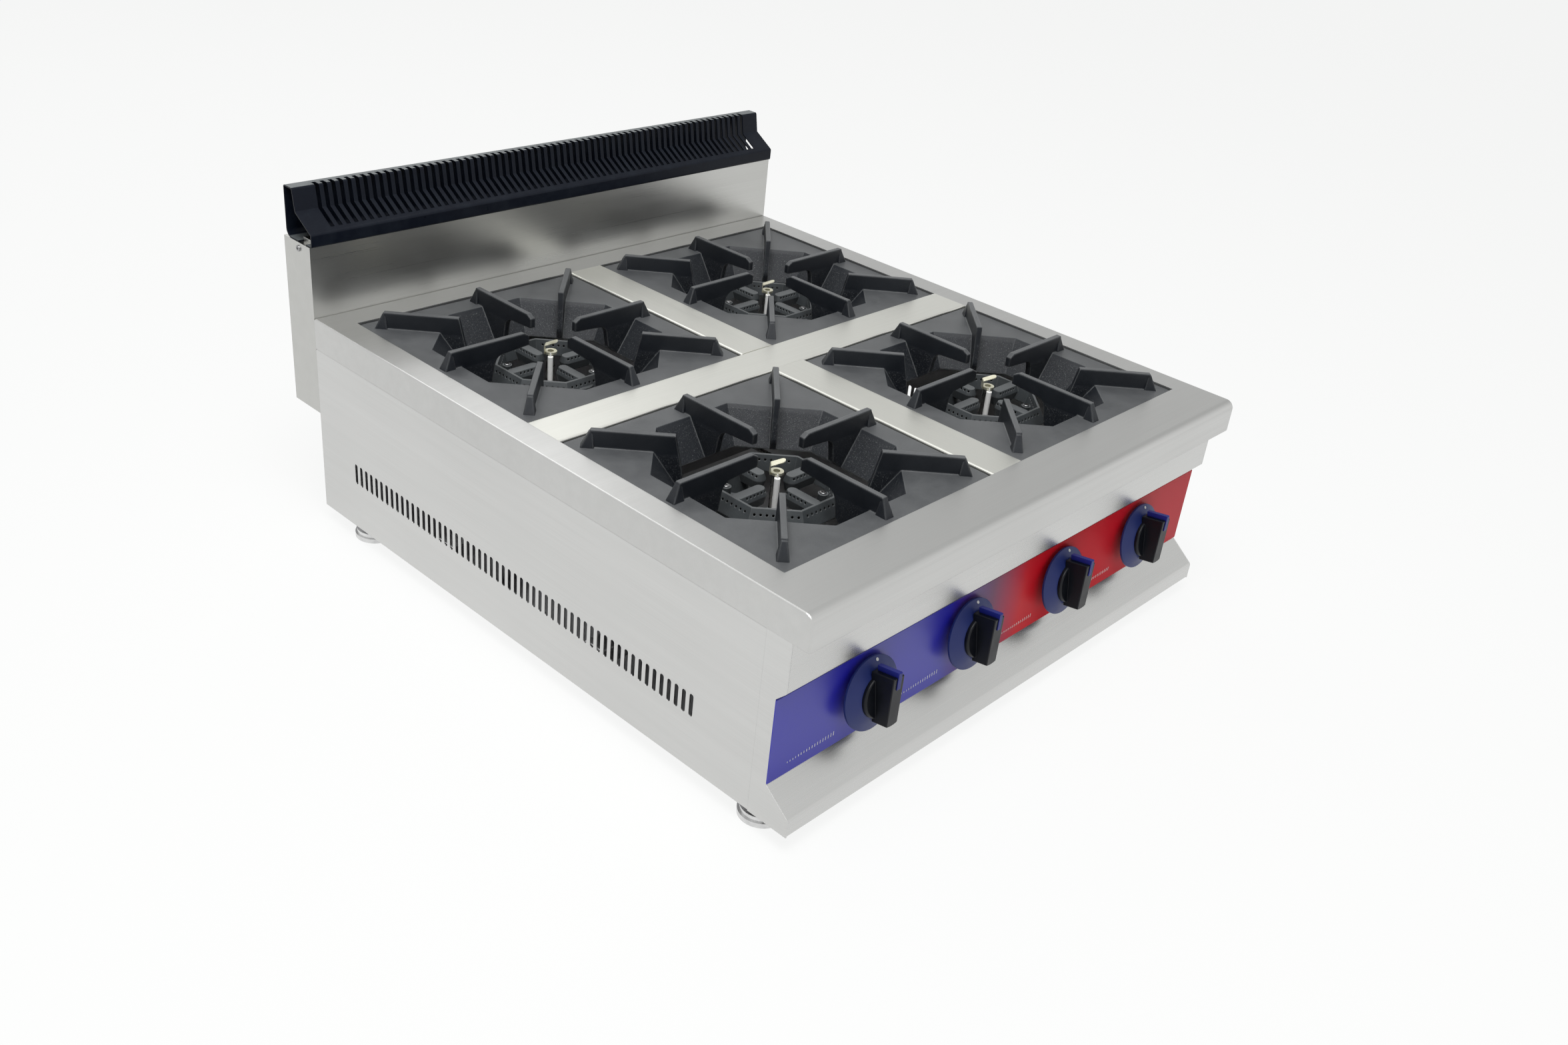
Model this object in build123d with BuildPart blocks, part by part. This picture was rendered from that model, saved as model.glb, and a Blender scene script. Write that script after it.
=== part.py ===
from build123d import *
from math import atan, cos, degrees, radians, sin
import os

os.makedirs("parts", exist_ok=True)

# Millimetres. X runs left to right, Y from the front to the flue, Z up from the table.
# Heights named "..._height" count from the underside of the body, depths from its front lip.

# Overall body
body_width = 800.0
body_depth = 843.0
body_height = 264.5
flue_depth = 57.7
foot_height = 22.0
sheet = 1.5
top_sheet = 2.0
fit_gap = 0.05
seat_gap = 0.3
# How far a cut or a joined form runs past the face that it meets
overrun = 1.0

# Front: lip, fascia, control panel and kick
apron_height = 224.3
lip_radius = 11.0
edge_radius = 2.5
lip_return = 42.0
fascia_setback = 21.1
fascia_bottom_height = 165.5
fascia_flange = 22.0
panel_setback = 32.0
panel_sheet = 1.5
panel_gap = 1.2
kick_top_height = 46.5
kick_bottom_height = 21.3
kick_bend = 5.0
kick_flange = 25.0
cheek_depth = 54.4
fold_bend = 2.2
flange = 15.0
notch_gap = 1.0

# Side louvres
louvre_count = 56
louvre_pitch = 11.256
louvre_first = 145.4
louvre_width = 5.8
louvre_length = 28.0
louvre_height = 80.0

# Back panel and flue
vent_width = 660.0
vent_bottom_height = 150.0
vent_tall = 65.0
flue_bottom_height = 135.0
flue_top_height = 355.5
collar_tall = 5.5
collar_gap = 0.5
collar_side_inset = 8.0
cap_sheet = 1.6
cap_end_inset = 1.0
cap_tall = 64.5
cap_overhang = 4.0
cap_back_inset = 4.7
cap_top_depth = 19.0
cap_brow_depth = 24.0
cap_brow_drop = 28.0
cap_lip_tall = 16.5
cap_front_flange = 13.0
cap_back_flange = 26.5
cap_bend = 10.0
cap_fold = 3.0
cap_slot_count = 67
cap_slot_pitch = 11.06
cap_slot_width = 5.5
cap_slot_top_run = 9.5
cap_slot_end_gap = 8.0
cutter_reach = 12.0

# Hob opening, ledges and strips
opening_half = 364.5
opening_front = 70.5
opening_back = 803.8
strip_width = 56.0
ledge_drop = 8.5
ledge_width = 12.0

# Cast grates
grate_gap = 1.0
grate_corner = 5.0
rim_drop = 2.5
rim_bevel = 1.2
funnel_top = 136.5
funnel_bottom = 107.5
funnel_drop = 44.5
funnel_wall = 6.0
fin_thick = 7.5
fin_rise = 18.5
fin_edge = 1.2
fin_toe_run = 10.0
fin_nose_run = 8.0
fin_nose_drop = 4.5
mid_fin_toe = 161.0
mid_fin_nose = 36.0
mid_fin_under = 2.0
mid_fin_leg = 87.0
mid_fin_leg_rise = -1.5
mid_fin_arch = 14.0
corner_fin_toe = 215.0
corner_fin_nose = 113.0
leg_foot_in = 15.5
leg_foot_drop = 32.0
corner_leg_foot_in = 5.2

# Cast burner heads, depths below the hob top
head_drop = 28.7
head_depth = 19.0
ridge_apothem = 63.8
ridge_width = 2.5
inner_lean = 5.0
outer_lean = 10.0
spoke_top_half = 6.0
spoke_mid_half = 9.0
spoke_shoulder = 8.0
spoke_foot_half = 6.5
spoke_tip_radius = 20.0
spoke_end_inset = 0.6
port_radius = 1.4
port_drop = 6.3
port_reach = 3.8
port_pitch = 6.8
outer_ports = (7, 8)
inner_ports = 6
spoke_ports = 6
spoke_port_pitch = 5.6
spoke_port_centre = 37.5
spoke_port_drop = 2.8
spoke_port_reach = 5.0
chamber_wall = 2.5
chamber_top = 5.0
chamber_floor = 3.0
inlet_radius = 11.0
inlet_boss = 15.0
inlet_offset = 60.0
inlet_boss_top = 10.0
inlet_boss_drop = 15.0
lug_radius = 6.0
lug_offset = 54.0
lug_top = 11.0

# Pilot light at the middle of each burner
standpipe_radius = 5.5
standpipe_top_drop = 19.0
standpipe_length = 62.0
cup_radius = 8.0
cup_tall = 3.0
cup_bore = 4.0
hood_rise = 7.5
hood_width = 11.0
hood_reach = 16.5
hood_tilt = 7.0
hood_sheet = 1.0
hood_tip_radius = 5.0
hood_bearing = 315.0
ceramic_radius = 3.5
ceramic_top_drop = 20.0
ceramic_length = 52.0
ceramic_offset = 10.0
ceramic_bearing = 230.0
pin_radius = 0.8
pin_tall = 4.5
pilot_bracket_drop = 66.0
pilot_bracket_sheet = 2.0
pilot_feed_radius = 3.0
pilot_feed_bore = 1.5
pilot_feed_height = 150.0
pilot_feed_bend = 15.0
rear_feed_x = 30.0

# Knobs: the axis leans back by knob_tilt from the panel's normal
knob_tilt = 9.5
knob_height = 102.9
outer_knob_x = 264.0
inner_knob_x = 91.0
knob_face_reach = 43.5
skirt_radius = 42.0
skirt_rim_reach = 12.8
skirt_seat_reach = 20.0
skirt_wall = 2.5
grip_base_radius = 24.5
grip_base_tall = 5.0
grip_dome = 2.5
wing_width = 18.0
wing_up = 31.5
wing_down = 29.0
wing_corner = 1.5
wing_edge = 1.0
wing_front_width = 17.0
pointer_width = 5.5
pointer_proud = 1.0
pointer_base = 6.0
pointer_tip = 6.0
pointer_foot_reach = 23.0
pointer_strip_end = 17.0
hub_radius = 9.0
hub_inner_reach = 8.0
knob_push = 3.0

# Gas taps, measured inwards from the panel face along the knob axis
stem_radius = 4.0
stem_reach = 28.0
stem_inner = 27.0
tongue_width = 7.2
tongue_thick = 3.8
tongue_end = 38.0
slot_end = 42.0
plug_radius = 9.0
plug_front = 24.0
plug_back = 54.5
plug_port_depth = 48.0
plug_port_radius = 3.0
cavity_front = 20.0
cavity_back = 55.0
tap_radius = 16.0
tap_front = 14.0
tap_back = 60.0
tap_neck_radius = 9.5
tap_neck_reach = 1.0
tap_hole_radius = 12.5
outlet_depth = 57.0
outlet_boss_radius = 8.0
outlet_boss_length = 26.0
injector_radius = 6.0
injector_length = 12.0
injector_tip = 6.0
injector_tip_radius = 3.0
injector_bore = 0.8
nipple_radius = 8.0
gas_bore = 3.5

# Mixer tubes from the taps to the burner heads
mouth_gap = 6.0
mouth_radius = 24.0
mouth_rim = 6.0
throat_radius = 14.0
throat_start = 30.0
throat_end = 45.0
tube_start = 90.0
tube_radius = 18.0
tube_wall = 3.5
riser_radius = 20.0
riser_flange_radius = 23.0
riser_flange_tall = 4.0
shutter_thick = 2.0
shutter_bore = 8.0
shutter_hole = 4.0
shutter_hole_ring = 16.0

# Manifold, supply pipe, rails, brackets and feet
pipe_radius = 13.5
pipe_bore = 10.0
manifold_height = 33.0
manifold_left = 300.0
manifold_right = 305.0
supply_bend = 22.0
supply_x = 330.0
nipple_end_depth = 873.0
thread_radius = 13.2
thread_length = 20.0
pipe_hole_gap = 1.5
bracket_x = 178.0
bracket_thick = 3.0
bracket_width = 44.0
bracket_above = 20.0
bracket_foot = 24.0
rail_width = 30.0
rail_tall = 20.0
rail_top_height = 69.5
foot_x = 370.0
front_foot_depth = 60.0
rear_foot_depth = 774.0
foot_radius = 26.5
foot_rim_tall = 6.0
foot_disc_tall = 12.0
foot_step = 2.0
foot_neck_radius = 10.0
stud_radius = 5.0
stud_above = 9.0
nut_radius = 8.5
nut_tall = 6.0
foot_hole_gap = 0.5
pan_wall = 15.0

# Small screws
screw_radius = 4.0
screw_head = 1.8
screw_shank_radius = 1.5
screw_shank = 5.0
flue_screw_depth = 868.0
flue_screw_height = 348.0

# Derived places
half_width = body_width / 2
knob_overhang = knob_face_reach + pointer_proud - panel_setback
front = knob_overhang - (knob_overhang + body_depth + flue_depth) / 2
rear = front + body_depth
back = rear + flue_depth
base = foot_height
top = base + body_height
apron = base + apron_height
web = front + panel_setback + panel_sheet
kick_slope = (kick_top_height - kick_bottom_height) / panel_setback
web_bottom = base + kick_top_height + kick_slope * panel_sheet
web_top = base + fascia_bottom_height - (panel_setback + panel_sheet - fascia_setback)
tilt = radians(knob_tilt)
outward = Vector(0, -cos(tilt), sin(tilt))
strip_half = strip_width / 2
row_centre = front + (opening_front + opening_back) / 2
cell_width = opening_half - strip_half
cell_depth = (opening_back - opening_front) / 2 - strip_half
front_cell_y = row_centre - strip_half - cell_depth / 2
rear_cell_y = row_centre + strip_half + cell_depth / 2
cell_x = strip_half + cell_width / 2
head_top = top - head_drop
head_bottom = head_top - head_depth
riser_top = head_bottom - inlet_boss_drop
manifold_y = front + panel_setback + plug_port_depth * cos(tilt)
manifold_z = base + manifold_height
mixer_z = base + knob_height - outlet_depth * sin(tilt)
mixer_y = front + panel_setback + outlet_depth * cos(tilt)
mouth_start = outlet_boss_length + injector_length + injector_tip + mouth_gap
rail_top = base + rail_top_height
pan_top = base + 2 * sheet
flue_top = base + flue_top_height
cap_front = rear - cap_overhang
cap_back = back - cap_back_inset

# Each burner: side, cell centre, knob place and which way its inlet lies
burners = {
    "front_left": (-cell_x, front_cell_y, -outer_knob_x, 1),
    "front_right": (cell_x, front_cell_y, outer_knob_x, 1),
    "rear_left": (-cell_x, rear_cell_y, -inner_knob_x, -1),
    "rear_right": (cell_x, rear_cell_y, inner_knob_x, -1),
}


def knob_plane(knob_x):
    origin = (knob_x, front + panel_setback, base + knob_height)
    return Plane(origin=origin, x_dir=(1, 0, 0), z_dir=outward)


def octagon(height, apothem):
    with BuildSketch(Plane.XY.offset(height)) as outline:
        RegularPolygon(radius=apothem, side_count=8, major_radius=False, rotation=22.5)
    return outline.sketch


def octagon_frustum(low, low_apothem, high, high_apothem, mode=Mode.ADD):
    loft([octagon(low, low_apothem), octagon(high, high_apothem)], ruled=True, mode=mode)


# Cross section of a folded sheet: the given line is one face, the metal lies on its left,
# and each bend has the given radius on its outside
def folded_sheet(plane, points, thickness, bends):
    corners = [Vector(*point) for point in points]
    normals = [(b - a).normalized().rotate(Axis.Z, 90) for a, b in zip(corners, corners[1:])]
    moved = [corners[0] + normals[0] * thickness]
    near_bends = []
    far_bends = []
    for corner, before, after, bend in zip(corners[1:], normals, normals[1:], bends):
        moved.append(corner + (before + after) * (thickness / (1 + before.dot(after))))
        turns_left = before.cross(after).Z > 0
        near_bends.append(bend if turns_left else bend - thickness)
        far_bends.append(bend - thickness if turns_left else bend)
    moved.append(corners[-1] + normals[-1] * thickness)
    with BuildSketch(plane) as section:
        with BuildLine():
            FilletPolyline(*corners, radius=near_bends)
            FilletPolyline(*moved, radius=far_bends)
            Line(corners[0], moved[0])
            Line(corners[-1], moved[-1])
        make_face()
    return section.sketch


def disc(plane, radius, amount, mode=Mode.ADD):
    with BuildSketch(plane) as face:
        Circle(radius)
    extrude(face.sketch, amount=amount, mode=mode)


# Base pan on the bottom flanges, with its edges turned up
with BuildPart() as base_pan:
    with BuildSketch(Plane.XY.offset(base + sheet)):
        with Locations((0, (front + rear) / 2)):
            Rectangle(body_width - 2 * fold_bend, body_depth - 2 * fold_bend)
    extrude(amount=pan_wall)
    with BuildSketch(Plane.XY.offset(pan_top)):
        with Locations((0, (front + rear) / 2)):
            Rectangle(body_width - 2 * fold_bend - 2 * sheet, body_depth - 2 * fold_bend - 2 * sheet)
    extrude(amount=pan_wall, mode=Mode.SUBTRACT)
    with BuildSketch(Plane.XY.offset(base)):
        for foot_depth in (front_foot_depth, rear_foot_depth):
            with Locations((-foot_x, front + foot_depth), (foot_x, front + foot_depth)):
                Circle(stud_radius + foot_hole_gap)
    extrude(amount=pan_wall, mode=Mode.SUBTRACT)
    # The turned-up edge is notched where the side and back flanges stand
    with BuildSketch(Plane.XY.offset(pan_top)):
        for side in (-1, 1):
            with Locations((side * half_width, front + cheek_depth)):
                Rectangle(2 * (flange + notch_gap), 2 * (sheet + notch_gap))
            with Locations((side * half_width, rear - 2 * sheet)):
                Rectangle(2 * (flange + notch_gap), 2 * (sheet + notch_gap))
    extrude(amount=pan_wall, mode=Mode.SUBTRACT)
base_pan.part.label = "base_pan"
export_step(base_pan.part, "parts/base_pan.step")


# Side panels: C section with front and rear flanges and a row of louvres
for side, name in ((-1, "side_panel_left"), (1, "side_panel_right")):
    face_x = side * half_width
    flange_x = face_x - side * flange
    with BuildPart() as side_panel:
        section = [
            (flange_x, base),
            (face_x, base),
            (face_x, apron),
            (flange_x, apron),
        ]
        section_plane = Plane.XZ.offset(-front - cheek_depth)
        panel_section = folded_sheet(section_plane, section[::side], sheet, [fold_bend] * 2)
        extrude(panel_section, amount=cheek_depth - body_depth)
        for wall_y in (front + cheek_depth, rear - 2 * sheet):
            with BuildSketch(Plane.XZ.offset(-wall_y)):
                with Locations((face_x - side * (sheet + flange) / 2, (pan_top + apron - sheet) / 2)):
                    Rectangle(flange - sheet, apron - sheet - pan_top)
            extrude(amount=-sheet)
        louvre_middle = front + louvre_first + (louvre_count - 1) * louvre_pitch / 2
        louvre_origin = (face_x, louvre_middle, base + louvre_height)
        with BuildSketch(Plane(origin=louvre_origin, x_dir=(0, 1, 0), z_dir=(1, 0, 0))):
            with GridLocations(louvre_pitch, 1, louvre_count, 1):
                SlotOverall(louvre_length, louvre_width, rotation=90)
        extrude(amount=2 * sheet, both=True, mode=Mode.SUBTRACT)
    side_panel.part.label = name
    export_step(side_panel.part, f"parts/{name}.step")


# Back panel with the vent into the flue and the hole for the gas pipe
with BuildPart() as back_panel:
    with BuildSketch(Plane.XZ.offset(-rear)):
        with Locations((0, (base + apron) / 2)):
            Rectangle(body_width - 2 * fold_bend, apron - base - 2 * sheet)
        with Locations((0, base + vent_bottom_height + vent_tall / 2)):
            Rectangle(vent_width, vent_tall, mode=Mode.SUBTRACT)
        with Locations((supply_x, manifold_z)):
            Circle(pipe_radius + pipe_hole_gap, mode=Mode.SUBTRACT)
    extrude(amount=sheet)
back_panel.part.label = "back_panel"
export_step(back_panel.part, "parts/back_panel.step")


# Front frame: one folded sheet with the fascia, the web behind the panel and the kick
with BuildPart() as front_frame:
    section = [
        (front + fascia_setback + fascia_flange, apron),
        (front + fascia_setback, apron),
        (front + fascia_setback, base + fascia_bottom_height),
        (web, web_top),
        (web, web_bottom),
        (front, base + kick_bottom_height),
        (front, base),
        (front + kick_flange, base),
    ]
    bends = [fold_bend, fold_bend, fold_bend, fold_bend, kick_bend, fold_bend]
    extrude(folded_sheet(Plane.YZ, section, sheet, bends), amount=half_width - sheet, both=True)
    for place in burners:
        disc(knob_plane(burners[place][2]).offset(-tap_front), tap_hole_radius, 2 * tap_front, Mode.SUBTRACT)
front_frame.part.label = "front_frame"
export_step(front_frame.part, "parts/front_frame.step")


# Front cheeks close the ends of the front frame
for side, name in ((-1, "front_cheek_left"), (1, "front_cheek_right")):
    with BuildPart() as front_cheek:
        outer_face = Plane.YZ.offset(side * half_width)
        with BuildSketch(outer_face):
            with BuildLine():
                FilletPolyline(
                    (front, base),
                    (front, base + kick_bottom_height),
                    (web, web_bottom),
                    (web, web_top),
                    (front + fascia_setback, base + fascia_bottom_height),
                    (front + fascia_setback, apron),
                    radius=[kick_bend, fold_bend - sheet, fold_bend - sheet, fold_bend],
                )
                Polyline(
                    (front + fascia_setback, apron),
                    (front + cheek_depth, apron),
                    (front + cheek_depth, base),
                    (front, base),
                )
            make_face()
        extrude(amount=-side * sheet)
        with BuildSketch(Plane.XZ.offset(-(front + cheek_depth))):
            with Locations((side * (half_width - (sheet + flange) / 2), (pan_top + apron - sheet) / 2)):
                Rectangle(flange - sheet, apron - sheet - pan_top)
        extrude(amount=sheet)
    front_cheek.part.label = name
    export_step(front_cheek.part, f"parts/{name}.step")


# Control panel: a flat coloured plate in front of the web
with BuildPart() as control_panel:
    panel_low = web_bottom + panel_gap
    panel_high = web_top - panel_gap
    with BuildSketch(Plane.XZ.offset(-web)):
        with Locations((0, (panel_low + panel_high) / 2)):
            Rectangle(body_width, panel_high - panel_low)
    extrude(amount=panel_sheet)
    for place in burners:
        disc(knob_plane(burners[place][2]).offset(-tap_front), tap_hole_radius, 2 * tap_front, Mode.SUBTRACT)
control_panel.part.label = "control_panel"
export_step(control_panel.part, "parts/control_panel.step")


# Hob frame: top sheet with bullnose, aprons and the stepped ledge around the opening
opening_depth = opening_back - opening_front
opening_y = front + (opening_front + opening_back) / 2
ledge_z = top - ledge_drop
with BuildPart() as hob_frame:
    with BuildSketch(Plane.XY.offset(apron)):
        with Locations((0, (front + rear) / 2)):
            Rectangle(body_width, body_depth)
    extrude(amount=top - apron)
    top_edges = hob_frame.edges().group_by(Axis.Z)[-1]
    fillet(top_edges.sort_by(Axis.Y)[0], radius=lip_radius)
    top_edges = hob_frame.faces().sort_by(Axis.Z)[-1].edges().sort_by(Axis.Y)
    fillet(top_edges[1:], radius=edge_radius)
    offset(amount=-top_sheet, openings=hob_frame.faces().sort_by(Axis.Z)[0])
    with BuildSketch(Plane.XY.offset(apron)):
        with Locations((0, front + (top_sheet + lip_return) / 2)):
            Rectangle(body_width - 2 * top_sheet, lip_return - top_sheet)
    extrude(amount=top_sheet)
    with BuildSketch(Plane.XY.offset(ledge_z - top_sheet)):
        with Locations((0, opening_y)):
            Rectangle(2 * (opening_half + top_sheet), opening_depth + 2 * top_sheet)
    extrude(amount=ledge_drop)
    with BuildSketch(Plane.XY.offset(ledge_z)):
        with Locations((0, opening_y)):
            Rectangle(2 * opening_half, opening_depth)
    extrude(amount=2 * ledge_drop, mode=Mode.SUBTRACT)
    with BuildSketch(Plane.XY.offset(ledge_z)):
        with Locations((0, opening_y)):
            Rectangle(2 * (opening_half - ledge_width), opening_depth - 2 * ledge_width)
    extrude(amount=-2 * ledge_drop, mode=Mode.SUBTRACT)
hob_frame.part.label = "hob_frame"
export_step(hob_frame.part, "parts/hob_frame.step")


# Hat-section strips that carry the inner edges of the grates
def strip(length):
    section = [
        (strip_half + ledge_width, -ledge_drop),
        (strip_half, -ledge_drop),
        (strip_half, 0),
        (-strip_half, 0),
        (-strip_half, -ledge_drop),
        (-strip_half - ledge_width, -ledge_drop),
    ]
    with BuildPart() as blank:
        strip_section = folded_sheet(Plane.YZ, section, top_sheet, [edge_radius] * 4)
        extrude(strip_section, amount=length / 2, both=True)
        # The flanges and the walls' feet stop short of the ledges at both ends
        with BuildSketch(Plane.XY.offset(edge_radius - top_sheet - ledge_drop)):
            with Locations((-length / 2, 0), (length / 2, 0)):
                Rectangle(2 * ledge_width, 2 * strip_width)
        extrude(amount=-2 * top_sheet, mode=Mode.SUBTRACT)
    return blank.part


row_blank = strip(2 * opening_half)
with BuildPart() as row_strip:
    with Locations((0, row_centre, top)):
        add(row_blank)
row_strip.part.label = "row_strip"
export_step(row_strip.part, "parts/row_strip.step")

columns = (
    ("column_strip_front", front_cell_y),
    ("column_strip_rear", rear_cell_y),
)
column_blank = strip(cell_depth)
for name, column_y in columns:
    with BuildPart() as column_strip:
        with Locations(Location((0, column_y, top), (0, 0, 90))):
            add(column_blank)
    column_strip.part.label = name
    export_step(column_strip.part, f"parts/{name}.step")


# Flue box behind the body, open at the top and towards the vent
with BuildPart() as flue_box:
    with BuildSketch(Plane.XY.offset(base + flue_bottom_height)):
        with Locations((0, (rear + back) / 2)):
            Rectangle(body_width, flue_depth)
    extrude(amount=flue_top_height - flue_bottom_height)
    with BuildSketch(Plane.XY.offset(base + flue_bottom_height + sheet)):
        with Locations((0, (rear + back) / 2)):
            Rectangle(body_width - 2 * sheet, flue_depth - 2 * sheet)
    extrude(amount=flue_top_height - flue_bottom_height - 2 * sheet, mode=Mode.SUBTRACT)
    # The collar stands up between the two flanges of the cap
    collar_front = cap_front + cap_front_flange + collar_gap
    collar_back = cap_back - cap_back_flange - collar_gap
    collar_depth = collar_back - collar_front
    collar_y = (collar_front + collar_back) / 2
    with BuildSketch(Plane.XY.offset(flue_top)):
        with Locations((0, collar_y)):
            Rectangle(body_width - 2 * collar_side_inset, collar_depth)
    extrude(amount=collar_tall)
    with BuildSketch(Plane.XY.offset(flue_top + collar_tall)):
        with Locations((0, collar_y)):
            Rectangle(body_width - 2 * collar_side_inset - 2 * sheet, collar_depth - 2 * sheet)
    extrude(amount=-collar_tall - 2 * sheet, mode=Mode.SUBTRACT)
    with BuildSketch(Plane.XZ.offset(-rear)):
        with Locations((0, base + vent_bottom_height + vent_tall / 2)):
            Rectangle(vent_width, vent_tall)
    extrude(amount=-2 * sheet, mode=Mode.SUBTRACT)
    for side in (-1, 1):
        screw_face = Plane(
            origin=(side * half_width, front + flue_screw_depth, base + flue_screw_height),
            x_dir=(0, 1, 0),
            z_dir=(side, 0, 0),
        )
        disc(screw_face, screw_shank_radius + fit_gap, -2 * sheet, Mode.SUBTRACT)
flue_box.part.label = "flue_box"
export_step(flue_box.part, "parts/flue_box.step")


# Flue cap: one folded sheet with open ends and a row of slots over the brow
cap_top = flue_top + cap_tall
brow_top_y = cap_back - cap_top_depth
brow_foot_y = brow_top_y - (cap_brow_depth - cap_top_depth)
brow_foot_z = cap_top - cap_brow_drop
lip_z = flue_top + cap_lip_tall
with BuildPart() as flue_cap:
    section = [
        (cap_back - cap_back_flange, flue_top),
        (cap_back, flue_top),
        (cap_back, cap_top),
        (brow_top_y, cap_top),
        (brow_foot_y, brow_foot_z),
        (cap_front, lip_z),
        (cap_front, flue_top),
        (cap_front + cap_front_flange, flue_top),
    ]
    bends = [cap_bend, cap_fold, cap_fold, cap_fold, cap_fold, cap_fold]
    cap_section = folded_sheet(Plane.YZ, section, cap_sheet, bends)
    extrude(cap_section, amount=half_width - cap_end_inset, both=True)
    slope = Vector(cap_front - brow_foot_y, lip_z - brow_foot_z).normalized()
    slot_foot = Vector(cap_front, lip_z) - slope * cap_slot_end_gap
    outwards = Vector(slope.Y, -slope.X)
    cutter_top = cap_top + cutter_reach
    with BuildSketch(Plane.YZ.offset(-(cap_slot_count - 1) * cap_slot_pitch / 2)):
        with BuildLine():
            Polyline(
                (brow_top_y + cap_slot_top_run, cutter_top),
                (brow_top_y + cap_slot_top_run, cap_top - 2 * cap_sheet),
                (brow_foot_y + 2 * cap_sheet, brow_foot_z - cap_sheet),
                slot_foot - outwards * 2 * cap_sheet,
                slot_foot + outwards * cap_sheet,
                (cap_front, cutter_top),
                close=True,
            )
        make_face()
    slot_cutter = extrude(amount=cap_slot_width / 2, both=True, mode=Mode.PRIVATE)
    with Locations([(i * cap_slot_pitch, 0, 0) for i in range(cap_slot_count)]):
        add(slot_cutter, mode=Mode.SUBTRACT)
flue_cap.part.label = "flue_cap"
export_step(flue_cap.part, "parts/flue_cap.step")


# Grates: one casting with a rim plate, an octagonal funnel and eight fins
def fin(bearing, outline, arch_corner):
    angle = radians(bearing)
    fin_plane = Plane(
        origin=(0, 0, 0),
        x_dir=(cos(angle), sin(angle), 0),
        z_dir=(sin(angle), -cos(angle), 0),
    )
    with BuildPart() as blade:
        with BuildSketch(fin_plane):
            with BuildLine():
                bends = [0] * len(outline)
                bends[arch_corner] = mid_fin_arch
                FilletPolyline(*outline, radius=bends, close=True)
            make_face()
        extrude(amount=fin_thick / 2, both=True)
        crest = blade.edges().filter_by(lambda edge: edge.center().Z > mid_fin_under + fin_edge)
        fillet(crest, radius=fin_edge)
    return blade.part


funnel_slope = (funnel_top - funnel_bottom) / (funnel_drop - rim_drop)
wall_root = [
    (funnel_bottom + funnel_wall / 2, -funnel_drop),
    (funnel_top + funnel_wall / 2, -rim_drop - overrun),
]
mid_fin_outline = [
    (mid_fin_toe, -rim_drop - overrun),
    (mid_fin_toe - fin_toe_run, fin_rise),
    (mid_fin_nose + fin_nose_run, fin_rise),
    (mid_fin_nose, fin_rise - fin_nose_drop),
    (mid_fin_nose, mid_fin_under),
    (mid_fin_leg, mid_fin_leg_rise),
    (funnel_bottom - leg_foot_in, -leg_foot_drop),
    (funnel_bottom, -funnel_drop),
] + wall_root
corner_fin_outline = [
    (corner_fin_toe, -rim_drop - overrun),
    (corner_fin_toe - fin_toe_run, fin_rise),
    (corner_fin_nose, fin_rise),
    (funnel_bottom - corner_leg_foot_in, -leg_foot_drop),
    (funnel_bottom, -funnel_drop),
] + wall_root
with BuildPart() as grate_blank:
    with BuildSketch(Plane.XY.offset(seat_gap - ledge_drop)):
        RectangleRounded(cell_width - 2 * grate_gap, cell_depth - 2 * grate_gap, grate_corner)
    extrude(amount=ledge_drop - seat_gap - rim_drop)
    chamfer(grate_blank.faces().sort_by(Axis.Z)[-1].edges(), length=rim_bevel)
    octagon_frustum(
        -funnel_drop,
        funnel_bottom + funnel_wall,
        -rim_drop - overrun,
        funnel_top + funnel_wall,
    )
    octagon_frustum(
        -funnel_drop - overrun,
        funnel_bottom - funnel_slope * overrun,
        -rim_drop + overrun,
        funnel_top + funnel_slope * overrun,
        Mode.SUBTRACT,
    )
    for step in range(4):
        add(fin(90 * step, mid_fin_outline, 5))
        add(fin(90 * step + 45, corner_fin_outline, 3))

for place, (burner_x, burner_y, knob_x, inlet_side) in burners.items():
    with BuildPart() as grate:
        with Locations((burner_x, burner_y, top)):
            add(grate_blank.part)
    grate.part.label = f"grate_{place}"
    export_step(grate.part, f"parts/grate_{place}.step")


# Burner heads: a hollow octagonal ring with four spokes, drilled with gas ports
def ring_outer(depth):
    return ridge_apothem + ridge_width / 2 + outer_lean * depth / head_depth


def ring_inner(depth):
    return ridge_apothem - ridge_width / 2 - inner_lean * depth / head_depth


spoke_inner = spoke_tip_radius + spoke_top_half
spoke_outer = ring_outer(0) - spoke_top_half - spoke_end_inset
spoke_middle = (spoke_inner + spoke_outer) / 2
spoke_span = spoke_outer - spoke_inner
with BuildPart() as gas_chamber:
    chamber_low = head_depth - chamber_floor
    octagon_frustum(
        -chamber_low,
        ring_outer(chamber_low) - chamber_wall,
        -chamber_top,
        ring_outer(chamber_top) - chamber_wall,
    )
    octagon_frustum(
        -chamber_low,
        ring_inner(chamber_low) + chamber_wall,
        -chamber_top,
        ring_inner(chamber_top) + chamber_wall,
        Mode.SUBTRACT,
    )
    with BuildSketch(Plane.XY.offset(-chamber_low)):
        with PolarLocations(spoke_middle, 4):
            SlotCenterToCenter(spoke_span, 2 * (spoke_top_half - chamber_wall))
    extrude(amount=chamber_low - chamber_wall - overrun)
    with BuildSketch(Plane.XY.offset(-head_depth - inlet_boss_drop)):
        with Locations((0, -inlet_offset)):
            Circle(inlet_radius)
    extrude(amount=head_depth + inlet_boss_drop - inlet_boss_top - chamber_wall)

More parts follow.
